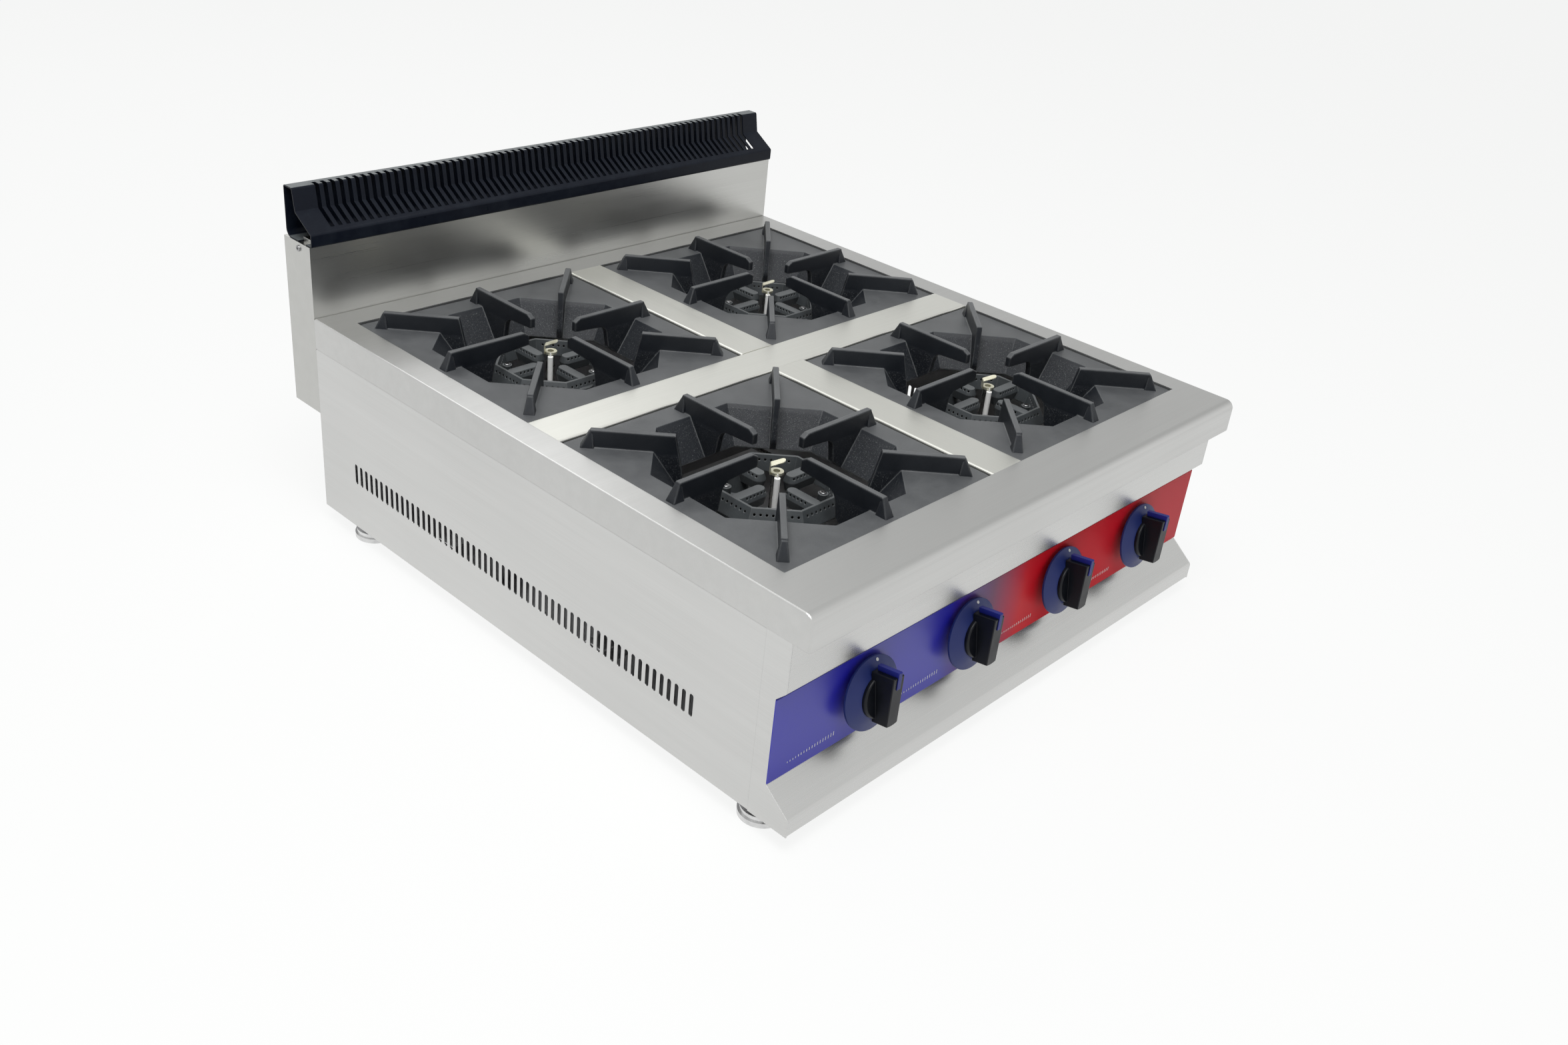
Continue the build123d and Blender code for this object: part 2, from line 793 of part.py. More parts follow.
with BuildPart() as head_blank:
    octagon_frustum(-head_depth, ring_outer(head_depth), 0, ring_outer(0))
    octagon_frustum(-head_depth, ring_inner(head_depth), 0, ring_inner(0), Mode.SUBTRACT)
    with BuildSketch(Plane.XY.offset(-spoke_shoulder)) as spoke_sketch:
        with PolarLocations(spoke_middle, 4):
            SlotCenterToCenter(spoke_span, 2 * spoke_mid_half)
    upper_draft = degrees(atan((spoke_mid_half - spoke_top_half) / spoke_shoulder))
    lower_draft = degrees(atan((spoke_mid_half - spoke_foot_half) / (head_depth - spoke_shoulder)))
    extrude(amount=spoke_shoulder, taper=upper_draft)
    extrude(spoke_sketch.sketch, amount=spoke_shoulder - head_depth, taper=lower_draft)
    with BuildSketch(Plane.XY.offset(-head_depth - inlet_boss_drop)):
        with Locations((0, -inlet_offset)):
            Circle(inlet_boss)
    extrude(amount=head_depth + inlet_boss_drop - inlet_boss_top)
    with BuildSketch(Plane.XY.offset(-head_depth)):
        with PolarLocations(lug_offset, 2, start_angle=135):
            Circle(lug_radius)
    extrude(amount=head_depth - lug_top)
    with BuildSketch(Plane.XY.offset(-lug_top)):
        with PolarLocations(lug_offset, 2, start_angle=135):
            Circle(screw_shank_radius + fit_gap)
    extrude(amount=-screw_shank - fit_gap, mode=Mode.SUBTRACT)
    add(gas_chamber.part, mode=Mode.SUBTRACT)
    for step in range(8):
        angle = radians(45 * step)
        radial = Vector(cos(angle), sin(angle), 0)
        tangent = Vector(-sin(angle), cos(angle), 0)
        outer_normal = radial * head_depth + Vector(0, 0, outer_lean)
        outer_face = Plane(
            origin=radial * ring_outer(port_drop) - Vector(0, 0, port_drop),
            x_dir=tangent,
            z_dir=outer_normal,
        )
        with BuildSketch(outer_face):
            with GridLocations(port_pitch, 1, outer_ports[step % 2], 1):
                Circle(port_radius)
        extrude(amount=-port_reach, mode=Mode.SUBTRACT)
        if step % 2:
            inner_normal = Vector(0, 0, inner_lean) - radial * head_depth
            inner_face = Plane(
                origin=radial * ring_inner(port_drop) - Vector(0, 0, port_drop),
                x_dir=tangent,
                z_dir=inner_normal,
            )
            with BuildSketch(inner_face):
                with GridLocations(port_pitch, 1, inner_ports, 1):
                    Circle(port_radius)
            extrude(amount=-port_reach, mode=Mode.SUBTRACT)
        else:
            side_lean = (spoke_mid_half - spoke_top_half) / spoke_shoulder
            half_here = spoke_top_half + side_lean * spoke_port_drop
            for side in (-1, 1):
                side_face = Plane(
                    origin=radial * spoke_port_centre
                    + tangent * side * half_here
                    - Vector(0, 0, spoke_port_drop),
                    x_dir=radial,
                    z_dir=tangent * side + Vector(0, 0, side_lean),
                )
                with BuildSketch(side_face):
                    with GridLocations(spoke_port_pitch, 1, spoke_ports, 1):
                        Circle(port_radius)
                extrude(amount=-spoke_port_reach, mode=Mode.SUBTRACT)

for place, (burner_x, burner_y, knob_x, inlet_side) in burners.items():
    head_turn = 180 if inlet_side > 0 else 0
    with BuildPart() as burner_head:
        with Locations(Location((burner_x, burner_y, head_top), (0, 0, head_turn))):
            add(head_blank.part)
    burner_head.part.label = f"burner_head_{place}"
    export_step(burner_head.part, f"parts/burner_head_{place}.step")


# Mixer tubes: bell mouth, throat and diffuser along the gas jet, then a riser to the head
def jet_line(place):
    burner_x, burner_y, knob_x, inlet_side = burners[place]
    start = Vector(knob_x, mixer_y, mixer_z)
    end = Vector(burner_x, burner_y + inlet_side * inlet_offset, mixer_z)
    return start, end


def along_jet(place, outline, mode=Mode.ADD):
    start, end = jet_line(place)
    jet = (end - start).normalized()
    jet_plane = Plane(origin=start, x_dir=jet, z_dir=jet.cross(Vector(0, 0, 1)))
    with BuildSketch(jet_plane) as profile:
        with BuildLine():
            Polyline(*outline, close=True)
        make_face()
    revolve(profile.sketch, axis=Axis(start, jet), mode=mode)


def tube_outline(start, end, inset):
    return [
        (start, 0),
        (start, mouth_radius - inset),
        (mouth_start + mouth_rim, mouth_radius - inset),
        (mouth_start + throat_start, throat_radius - inset),
        (mouth_start + throat_end, throat_radius - inset),
        (mouth_start + tube_start, tube_radius - inset),
        (end, tube_radius - inset),
        (end, 0),
    ]


for place in burners:
    jet_start, jet_end = jet_line(place)
    jet_length = (jet_end - jet_start).length
    with BuildPart() as burner_mixer:
        along_jet(place, tube_outline(mouth_start, jet_length, 0))
        riser_foot = Plane(origin=(jet_end.X, jet_end.Y, rail_top))
        disc(riser_foot, riser_radius, riser_top - rail_top)
        disc(riser_foot.offset(riser_top - rail_top), riser_flange_radius, -riser_flange_tall)
        along_jet(place, tube_outline(mouth_start - overrun, jet_length, tube_wall), Mode.SUBTRACT)
        disc(riser_foot.offset(mixer_z - rail_top), inlet_radius, riser_top - mixer_z, Mode.SUBTRACT)
    burner_mixer.part.label = f"burner_mixer_{place}"
    export_step(burner_mixer.part, f"parts/burner_mixer_{place}.step")

with BuildPart() as air_shutters:
    for place in burners:
        along_jet(place, [
            (mouth_start - shutter_thick, shutter_bore),
            (mouth_start - shutter_thick, mouth_radius),
            (mouth_start, mouth_radius),
            (mouth_start, shutter_bore),
        ])
        jet_start, jet_end = jet_line(place)
        jet = (jet_end - jet_start).normalized()
        shutter_face = Plane(origin=jet_start + jet * mouth_start, x_dir=(0, 0, 1), z_dir=jet)
        with BuildSketch(shutter_face):
            with PolarLocations(shutter_hole_ring, 4):
                Circle(shutter_hole)
        extrude(amount=-shutter_thick, mode=Mode.SUBTRACT)
air_shutters.part.label = "air_shutters"
export_step(air_shutters.part, "parts/air_shutters.step")

with BuildPart() as injectors:
    injector_end = outlet_boss_length + injector_length
    for place in burners:
        along_jet(place, [
            (outlet_boss_length, injector_bore),
            (outlet_boss_length, injector_radius),
            (injector_end, injector_radius),
            (injector_end + injector_tip, injector_tip_radius),
            (injector_end + injector_tip, injector_bore),
        ])
injectors.part.label = "injectors"
export_step(injectors.part, "parts/injectors.step")


# Gas taps: bodies on the manifold, each with a plug that turns and a stem that pushes in
with BuildPart() as tap_bodies:
    pipe_end = Plane(origin=(-half_width, manifold_y, manifold_z), x_dir=(0, 1, 0), z_dir=(1, 0, 0))
    for place, (burner_x, burner_y, knob_x, inlet_side) in burners.items():
        tap_plane = knob_plane(knob_x)
        jet_start, jet_end = jet_line(place)
        outlet_plane = Plane(origin=jet_start, z_dir=(jet_end - jet_start).normalized())
        nipple_plane = Plane(origin=(knob_x, manifold_y, manifold_z))
        nipple_tall = base + knob_height - plug_port_depth * sin(tilt) - manifold_z
        disc(tap_plane.offset(-tap_back), tap_radius, tap_back - tap_front)
        disc(tap_plane.offset(-tap_front), tap_neck_radius, tap_front + tap_neck_reach)
        disc(outlet_plane, outlet_boss_radius, outlet_boss_length)
        disc(nipple_plane, nipple_radius, nipple_tall)
        disc(tap_plane.offset(-cavity_back), plug_radius + fit_gap, cavity_back - cavity_front, Mode.SUBTRACT)
        disc(tap_plane.offset(-cavity_front), stem_radius + fit_gap, 2 * cavity_front, Mode.SUBTRACT)
        disc(outlet_plane, gas_bore, outlet_boss_length, Mode.SUBTRACT)
        disc(nipple_plane, gas_bore, nipple_tall, Mode.SUBTRACT)
    disc(pipe_end, pipe_radius + fit_gap, body_width, Mode.SUBTRACT)
tap_bodies.part.label = "tap_bodies"
export_step(tap_bodies.part, "parts/tap_bodies.step")

with BuildPart() as plug_blank:
    disc(Plane.XY.offset(-plug_back), plug_radius, plug_back - plug_front)
    bore_end = stem_inner + knob_push + overrun
    disc(Plane.XY.offset(-bore_end), stem_radius + 2 * fit_gap, bore_end, Mode.SUBTRACT)
    with BuildSketch(Plane.XY.offset(-slot_end)):
        Rectangle(tongue_width + 4 * fit_gap, tongue_thick + 4 * fit_gap)
    extrude(amount=slot_end - bore_end + overrun, mode=Mode.SUBTRACT)
    port_plane = Plane(origin=(-plug_radius, 0, -plug_port_depth), x_dir=(0, 1, 0), z_dir=(1, 0, 0))
    disc(port_plane, plug_port_radius, plug_radius, Mode.SUBTRACT)
    disc(Plane.XY.offset(-plug_back), plug_port_radius, plug_back - plug_port_depth, Mode.SUBTRACT)

with BuildPart() as stem_blank:
    disc(Plane.XY.offset(-stem_inner), stem_radius, stem_inner + stem_reach)
    with BuildSketch(Plane.XY.offset(-tongue_end)):
        Rectangle(tongue_width, tongue_thick)
    extrude(amount=tongue_end - stem_inner + overrun)

# Knob skirt: a shallow cone with a turned-down rim
with BuildPart() as skirt_blank:
    skirt_hole = hub_radius + fit_gap
    with BuildSketch(Plane.XZ):
        with BuildLine():
            Polyline(
                (skirt_hole, skirt_seat_reach),
                (grip_base_radius, skirt_seat_reach),
                (skirt_radius, skirt_rim_reach),
                (skirt_radius, skirt_rim_reach - skirt_wall),
                (skirt_radius - skirt_wall, skirt_rim_reach - skirt_wall),
                (grip_base_radius - skirt_wall, skirt_seat_reach - skirt_wall),
                (skirt_hole, skirt_seat_reach - skirt_wall),
                close=True,
            )
        make_face()
    revolve(axis=Axis.Z)


# Knob grip: a domed base and a wing whose front is parallel to the panel at rest
def reach_at(height, reach):
    return (reach + height * sin(tilt)) / cos(tilt)


with BuildPart() as wing_blank:
    wing_end = reach_at(wing_up, knob_face_reach) + wing_corner
    with BuildSketch(Plane.XZ.offset(wing_down)):
        with BuildLine():
            Polyline(
                (-wing_width / 2, skirt_seat_reach),
                (wing_width / 2, skirt_seat_reach),
                (wing_front_width / 2, wing_end),
                (-wing_front_width / 2, wing_end),
                close=True,
            )
        make_face()
    extrude(amount=-wing_down - wing_up)
    # The lower end is round about the knob's axis
    with BuildSketch():
        Circle(wing_down)
        with Locations((0, wing_up / 2)):
            Rectangle(wing_width, wing_up)
    extrude(amount=wing_end, mode=Mode.INTERSECT)
    upright = wing_blank.edges().filter_by(lambda edge: edge.bounding_box().size.Z > wing_corner)
    fillet(upright, radius=wing_corner)
    face_plane = Plane(
        origin=(0, 0, reach_at(0, knob_face_reach)),
        x_dir=(1, 0, 0),
        z_dir=(0, -sin(tilt), cos(tilt)),
    )
    split(bisect_by=face_plane, keep=Keep.BOTTOM)
    front_edges = wing_blank.faces().sort_by(Axis.Z)[-1].edges()
    fillet(front_edges, radius=wing_edge)

with BuildPart() as grip_blank:
    disc(Plane.XY.offset(skirt_seat_reach), grip_base_radius, grip_base_tall)
    fillet(grip_blank.edges().sort_by(Axis.Z)[-1], radius=grip_dome)
    add(wing_blank.part)
    disc(Plane.XY.offset(hub_inner_reach), hub_radius, skirt_seat_reach - hub_inner_reach)
    disc(Plane.XY, stem_radius + fit_gap, stem_reach + fit_gap, Mode.SUBTRACT)

# Knob pointer: a narrow hook over the upper end of the wing
with BuildPart() as pointer_blank:
    pointer_reach = knob_face_reach + pointer_proud
    tip_up = wing_up + pointer_tip
    with BuildSketch(Plane.YZ):
        with BuildLine():
            Polyline(
                (wing_up, pointer_foot_reach),
                (wing_up + pointer_base, pointer_foot_reach),
                (tip_up, reach_at(tip_up, pointer_reach) - pointer_proud),
                (tip_up - pointer_proud, reach_at(tip_up - pointer_proud, pointer_reach)),
                (pointer_strip_end, reach_at(pointer_strip_end, pointer_reach)),
                (pointer_strip_end, reach_at(pointer_strip_end, knob_face_reach)),
                (wing_up, reach_at(wing_up, knob_face_reach)),
                close=True,
            )
        make_face()
    extrude(amount=pointer_width / 2, both=True)

for place, (burner_x, burner_y, knob_x, inlet_side) in burners.items():
    with BuildPart() as tap_plug:
        with Locations(knob_plane(knob_x)):
            add(plug_blank.part)
    tap_plug.part.label = f"tap_plug_{place}"
    export_step(tap_plug.part, f"parts/tap_plug_{place}.step")

    with BuildPart() as tap_stem:
        with Locations(knob_plane(knob_x)):
            add(stem_blank.part)
    tap_stem.part.label = f"tap_stem_{place}"
    export_step(tap_stem.part, f"parts/tap_stem_{place}.step")

    with BuildPart() as knob_skirt:
        with Locations(knob_plane(knob_x)):
            add(skirt_blank.part)
    knob_skirt.part.label = f"knob_skirt_{place}"
    export_step(knob_skirt.part, f"parts/knob_skirt_{place}.step")

    with BuildPart() as knob_grip:
        with Locations(knob_plane(knob_x)):
            add(grip_blank.part)
    knob_grip.part.label = f"knob_grip_{place}"
    export_step(knob_grip.part, f"parts/knob_grip_{place}.step")

    with BuildPart() as knob_pointer:
        with Locations(knob_plane(knob_x)):
            add(pointer_blank.part)
    knob_pointer.part.label = f"knob_pointer_{place}"
    export_step(knob_pointer.part, f"parts/knob_pointer_{place}.step")


# Manifold under the taps, closed at its left end
feeds = {
    "front_left": -cell_x,
    "front_right": cell_x,
    "rear_left": -rear_feed_x,
    "rear_right": rear_feed_x,
}
with BuildPart() as manifold_pipe:
    left_end = Plane(origin=(-manifold_left, manifold_y, manifold_z), x_dir=(0, 1, 0), z_dir=(1, 0, 0))
    pipe_length = manifold_left + manifold_right
    disc(left_end, pipe_radius, pipe_length)
    disc(left_end.offset(pipe_radius - pipe_bore), pipe_bore, pipe_length, Mode.SUBTRACT)
    with BuildSketch(Plane.XY.offset(manifold_z)):
        with Locations([(burners[place][2], manifold_y) for place in burners]):
            Circle(gas_bore)
        with Locations([(feeds[place], manifold_y) for place in feeds]):
            Circle(pilot_feed_bore)
    extrude(amount=2 * pipe_radius, mode=Mode.SUBTRACT)
manifold_pipe.part.label = "manifold_pipe"
export_step(manifold_pipe.part, "parts/manifold_pipe.step")

# Supply pipe from the manifold to the threaded inlet behind the back panel
with BuildPart() as gas_supply_pipe:
    nipple_end = front + nipple_end_depth
    with BuildLine() as supply_path:
        FilletPolyline(
            (manifold_right, manifold_y, manifold_z),
            (supply_x, manifold_y, manifold_z),
            (supply_x, nipple_end, manifold_z),
            radius=supply_bend,
        )
    with BuildSketch(Plane(origin=(manifold_right, manifold_y, manifold_z), z_dir=(1, 0, 0))):
        Circle(pipe_radius)
        Circle(pipe_bore, mode=Mode.SUBTRACT)
    sweep(path=supply_path.line)
    with BuildSketch(Plane.XZ.offset(-nipple_end)):
        with Locations((supply_x, manifold_z)):
            Circle(2 * pipe_radius)
            Circle(thread_radius, mode=Mode.SUBTRACT)
    extrude(amount=thread_length, mode=Mode.SUBTRACT)
gas_supply_pipe.part.label = "gas_supply_pipe"
export_step(gas_supply_pipe.part, "parts/gas_supply_pipe.step")

# Manifold brackets stand on the base pan
with BuildPart() as manifold_brackets:
    for side in (-1, 1):
        with BuildSketch(Plane.YZ.offset(side * bracket_x)):
            with Locations((manifold_y, (pan_top + manifold_z + bracket_above) / 2)):
                Rectangle(bracket_width, manifold_z + bracket_above - pan_top)
            with Locations((manifold_y, manifold_z)):
                Circle(pipe_radius + fit_gap, mode=Mode.SUBTRACT)
        extrude(amount=bracket_thick)
        with BuildSketch(Plane.XY.offset(pan_top)):
            with Locations((side * bracket_x + bracket_foot / 2, manifold_y)):
                Rectangle(bracket_foot, bracket_width)
        extrude(amount=bracket_thick)
manifold_brackets.part.label = "manifold_brackets"
export_step(manifold_brackets.part, "parts/manifold_brackets.step")

# Channel rails from side to side carry the mixers' risers
with BuildPart() as burner_rails:
    for rail_y in (front_cell_y + inlet_offset, rear_cell_y - inlet_offset):
        section = [
            (rail_y + rail_width / 2, rail_top - rail_tall),
            (rail_y + rail_width / 2, rail_top),
            (rail_y - rail_width / 2, rail_top),
            (rail_y - rail_width / 2, rail_top - rail_tall),
        ]
        rail_section = folded_sheet(Plane.YZ, section, sheet, [fold_bend] * 2)
        extrude(rail_section, amount=half_width - sheet, both=True)
burner_rails.part.label = "burner_rails"
export_step(burner_rails.part, "parts/burner_rails.step")


# Pilot lights: feed tube and standpipe, cup with its hood, bracket and spark electrode
with BuildPart() as pilot_tubes:
    feed_z = base + pilot_feed_height
    standpipe_foot = top - standpipe_top_drop - standpipe_length
    for place, (burner_x, burner_y, knob_x, inlet_side) in burners.items():
        route = [
            (burner_x, burner_y, standpipe_foot),
            (burner_x, burner_y, feed_z),
            (feeds[place], burner_y, feed_z),
            (feeds[place], manifold_y, feed_z),
            (feeds[place], manifold_y, manifold_z + pipe_radius),
        ]
        if feeds[place] == burner_x:
            route.pop(2)
        with BuildLine() as feed_path:
            FilletPolyline(*route, radius=pilot_feed_bend)
        with BuildSketch(Plane.XY.offset(standpipe_foot)):
            with Locations((burner_x, burner_y)):
                Circle(pilot_feed_radius)
                Circle(pilot_feed_bore, mode=Mode.SUBTRACT)
        sweep(path=feed_path.line)
        with BuildSketch(Plane.XY.offset(standpipe_foot)):
            with Locations((burner_x, burner_y)):
                Circle(standpipe_radius)
                Circle(pilot_feed_bore, mode=Mode.SUBTRACT)
        extrude(amount=standpipe_length)
pilot_tubes.part.label = "pilot_tubes"
export_step(pilot_tubes.part, "parts/pilot_tubes.step")

with BuildPart() as hood_blank:
    disc(Plane.XY, cup_radius, cup_tall)
    disc(Plane.XY, cup_bore, cup_tall, Mode.SUBTRACT)
    hood_plane = Plane(origin=(0, 0, 0), x_dir=(1, 0, 0), z_dir=(0, -1, 0))
    hood_top = cup_tall + hood_rise
    section = [
        (hood_reach - cup_radius, hood_top + hood_tilt),
        (-cup_radius, hood_top),
        (-cup_radius, 0),
    ]
    hood_section = folded_sheet(hood_plane, section, hood_sheet, [fold_bend])
    extrude(hood_section, amount=hood_width / 2, both=True)
    leaf_tip = hood_blank.faces().sort_by(Axis.X)[-1].edges()
    fillet(leaf_tip.filter_by(lambda edge: edge.length < 2 * hood_sheet), radius=hood_tip_radius)

with BuildPart() as pilot_hoods:
    for place, (burner_x, burner_y, knob_x, inlet_side) in burners.items():
        with Locations(Location((burner_x, burner_y, top - standpipe_top_drop), (0, 0, hood_bearing))):
            add(hood_blank.part)
pilot_hoods.part.label = "pilot_hoods"
export_step(pilot_hoods.part, "parts/pilot_hoods.step")

electrode_x = ceramic_offset * cos(radians(ceramic_bearing))
electrode_y = ceramic_offset * sin(radians(ceramic_bearing))
with BuildPart() as pilot_brackets:
    for place, (burner_x, burner_y, knob_x, inlet_side) in burners.items():
        bracket_plane = Plane(origin=(burner_x, burner_y, top - pilot_bracket_drop))
        with BuildSketch(bracket_plane):
            with Locations(Location((electrode_x / 2, electrode_y / 2, 0), (0, 0, ceramic_bearing))):
                SlotCenterToCenter(ceramic_offset, 2 * cup_radius)
            Circle(standpipe_radius + fit_gap, mode=Mode.SUBTRACT)
            with Locations((electrode_x, electrode_y)):
                Circle(ceramic_radius + fit_gap, mode=Mode.SUBTRACT)
        extrude(amount=-pilot_bracket_sheet)
pilot_brackets.part.label = "pilot_brackets"
export_step(pilot_brackets.part, "parts/pilot_brackets.step")

with BuildPart() as igniter_electrodes:
    for place, (burner_x, burner_y, knob_x, inlet_side) in burners.items():
        ceramic_top = Plane(
            origin=(burner_x + electrode_x, burner_y + electrode_y, top - ceramic_top_drop)
        )
        disc(ceramic_top, ceramic_radius, -ceramic_length)
        disc(ceramic_top, pin_radius, pin_tall)
igniter_electrodes.part.label = "igniter_electrodes"
export_step(igniter_electrodes.part, "parts/igniter_electrodes.step")


# Levelling feet: a disc glide with a stud through the base pan, and its nut
with BuildPart() as levelling_feet:
    for foot_depth in (front_foot_depth, rear_foot_depth):
        for side in (-1, 1):
            foot_plane = Plane(origin=(side * foot_x, front + foot_depth, 0))
            disc(foot_plane, foot_radius, foot_rim_tall)
            disc(foot_plane, foot_radius - foot_step, foot_disc_tall)
            disc(foot_plane, foot_neck_radius, base + sheet)
            disc(foot_plane, stud_radius, pan_top + nut_tall + stud_above)
levelling_feet.part.label = "levelling_feet"
export_step(levelling_feet.part, "parts/levelling_feet.step")

with BuildPart() as foot_nuts:
    for foot_depth in (front_foot_depth, rear_foot_depth):
        for side in (-1, 1):
            with BuildSketch(Plane(origin=(side * foot_x, front + foot_depth, pan_top))):
                RegularPolygon(radius=nut_radius, side_count=6, major_radius=False)
                Circle(stud_radius + fit_gap, mode=Mode.SUBTRACT)
            extrude(amount=nut_tall)
foot_nuts.part.label = "foot_nuts"
export_step(foot_nuts.part, "parts/foot_nuts.step")


# Pan-head screws: one on each side of the flue and two in each burner head
with BuildPart() as screws:
    screw_planes = []
    for side in (-1, 1):
        screw_planes.append(Plane(
            origin=(side * half_width, front + flue_screw_depth, base + flue_screw_height),
            x_dir=(0, 1, 0),
            z_dir=(side, 0, 0),
        ))
    for place, (burner_x, burner_y, knob_x, inlet_side) in burners.items():
        for bearing in (135, 315):
            screw_x = burner_x + lug_offset * cos(radians(bearing))
            screw_y = burner_y + lug_offset * sin(radians(bearing))
            screw_planes.append(Plane(origin=(screw_x, screw_y, head_top - lug_top)))
    for screw_plane in screw_planes:
        disc(screw_plane, screw_radius, screw_head)
        disc(screw_plane, screw_shank_radius, -screw_shank)
screws.part.label = "screws"
export_step(screws.part, "parts/screws.step")
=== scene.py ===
import math

import bmesh
import bpy
from mathutils import Matrix, Vector


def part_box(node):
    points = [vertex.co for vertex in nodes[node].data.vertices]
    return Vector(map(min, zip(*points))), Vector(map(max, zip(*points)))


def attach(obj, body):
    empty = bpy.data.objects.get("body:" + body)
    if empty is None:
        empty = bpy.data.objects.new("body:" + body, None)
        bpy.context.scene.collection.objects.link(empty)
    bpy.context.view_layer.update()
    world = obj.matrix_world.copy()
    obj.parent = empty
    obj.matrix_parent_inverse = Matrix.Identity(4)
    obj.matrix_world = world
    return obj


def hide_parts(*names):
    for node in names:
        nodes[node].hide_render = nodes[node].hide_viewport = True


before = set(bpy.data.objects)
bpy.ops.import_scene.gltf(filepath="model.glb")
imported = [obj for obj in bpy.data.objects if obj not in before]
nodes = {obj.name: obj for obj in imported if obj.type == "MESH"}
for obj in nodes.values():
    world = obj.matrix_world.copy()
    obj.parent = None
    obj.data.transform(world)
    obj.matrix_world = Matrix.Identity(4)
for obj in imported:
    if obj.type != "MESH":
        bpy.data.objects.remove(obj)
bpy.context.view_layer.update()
places = ["front_left", "front_right", "rear_left", "rear_right"]
print("frame loaded:", len(nodes), "nodes")


# A shader socket that can be used in sums
class Wire:
    def __init__(self, shader, socket):
        self.shader = shader
        self.socket = socket

    def __add__(self, other):
        return self.shader.math("ADD", self, other)

    def __sub__(self, other):
        return self.shader.math("SUBTRACT", self, other)

    def __rsub__(self, other):
        return self.shader.math("SUBTRACT", other, self)

    def __mul__(self, other):
        return self.shader.math("MULTIPLY", self, other)

    __radd__ = __add__
    __rmul__ = __mul__


# The nodes of one material, or of the tree that is handed in
class Shader:
    def __init__(self, name, tree=None, coordinates="Object"):
        if tree is None:
            self.material = bpy.data.materials.new(name)
            self.material.use_nodes = True
            tree = self.material.node_tree
        self.tree = tree
        self.tree.nodes.clear()
        self.place = self.node("ShaderNodeTexCoord", output=coordinates)

    # Settings are set first, then the sockets get their values or links
    def node(self, kind, output=0, settings=None, **sockets):
        made = self.tree.nodes.new(kind)
        for key, value in (settings or {}).items():
            if key == "stops":
                ramp = made.color_ramp
                while len(ramp.elements) < len(value):
                    ramp.elements.new(0.5)
                for element, (position, colour) in zip(ramp.elements, value):
                    element.position = position
                    element.color = (*colour, 1)
            else:
                setattr(made, key, value)
        for key, value in sockets.items():
            # i0, i1 ... pick a socket by its number, any other key by its name
            numbered = key[1:].isdigit()
            slot = made.inputs[int(key[1:]) if numbered else key.replace("_", " ")]
            if isinstance(value, Wire):
                self.tree.links.new(value.socket, slot)
            elif value is not None:
                slot.default_value = value
        return Wire(self, made.outputs[output]) if made.outputs else None

    def math(self, operation, first, second):
        return self.node("ShaderNodeMath", settings={"operation": operation}, i0=first, i1=second)

    def scaled(self, scale):
        return self.node("ShaderNodeMapping", Vector=self.place, Scale=scale)

    def noise(self, vector, scale, detail=2.0, roughness=0.5):
        return self.node(
            "ShaderNodeTexNoise", Vector=vector, Scale=scale, Detail=detail, Roughness=roughness
        )

    def ramp(self, fac, stops):
        return self.node("ShaderNodeValToRGB", settings={"stops": stops}, Fac=fac)

    # Maps a factor's range to another range, held at both ends
    def span(self, fac, low, high, start=0.0, end=1.0):
        return self.node("ShaderNodeMapRange", Value=fac, i1=low, i2=high, i3=start, i4=end)

    def mix(self, fac, first, second):
        settings = {"data_type": "RGBA"}
        return self.node("ShaderNodeMix", output=2, settings=settings, i0=fac, i6=first, i7=second)

    def mixShader(self, fac, first, second):
        return self.node("ShaderNodeMixShader", i0=fac, i1=first, i2=second)

    def rays(self, kind):
        return self.node("ShaderNodeLightPath", output=kind)

    def axis(self, letter, vector):
        return self.node("ShaderNodeSeparateXYZ", output=letter, Vector=vector)

    def faceNormal(self):
        return self.node("ShaderNodeNewGeometry", output="Normal")

    def bump(self, height, strength, distance, normal=None):
        return self.node(
            "ShaderNodeBump", Height=height, Strength=strength, Distance=distance, Normal=normal
        )

    # Normals as if every edge had this radius
    def rounded(self, radius):
        return self.node("ShaderNodeBevel", settings={"samples": 6}, Radius=radius)

    # 1 beside an edge, 0 on the flat
    def edges(self, rounded, reach):
        settings = {"operation": "DOT_PRODUCT"}
        alike = self.node(
            "ShaderNodeVectorMath", output="Value", settings=settings,
            i0=rounded, i1=self.faceNormal(),
        )
        return self.span(alike, 1.0, 1.0 - reach)

    # 1 on faces that look up, 0 on steep ones
    def level(self, steep, flat):
        return self.span(self.axis("Z", self.faceNormal()), steep, flat)

    def finish(self, **sockets):
        shader = self.node("ShaderNodeBsdfPrincipled", **sockets)
        self.node("ShaderNodeOutputMaterial", Surface=shader)
        return self.material


def paint(material, *names):
    for name in names:
        mesh = nodes[name].data
        mesh.materials.clear()
        mesh.materials.append(material)


# Brushed steel: fine lines along the grain, with faint broad bands and a soft cloud
steel = {
    "lineScale": 2300.0,
    "bandScale": 70.0,
    "alongScale": 6.0,
    "bandStretch": 4,
    "cloudScale": 3.0,
    "lineShare": 0.45,
    "bandShare": 0.20,
    "cloudShare": 0.35,
    "streakRange": (0.36, 0.64),
    "lineDepth": 0.0002,
    "edgeRadius": 0.0006,
}
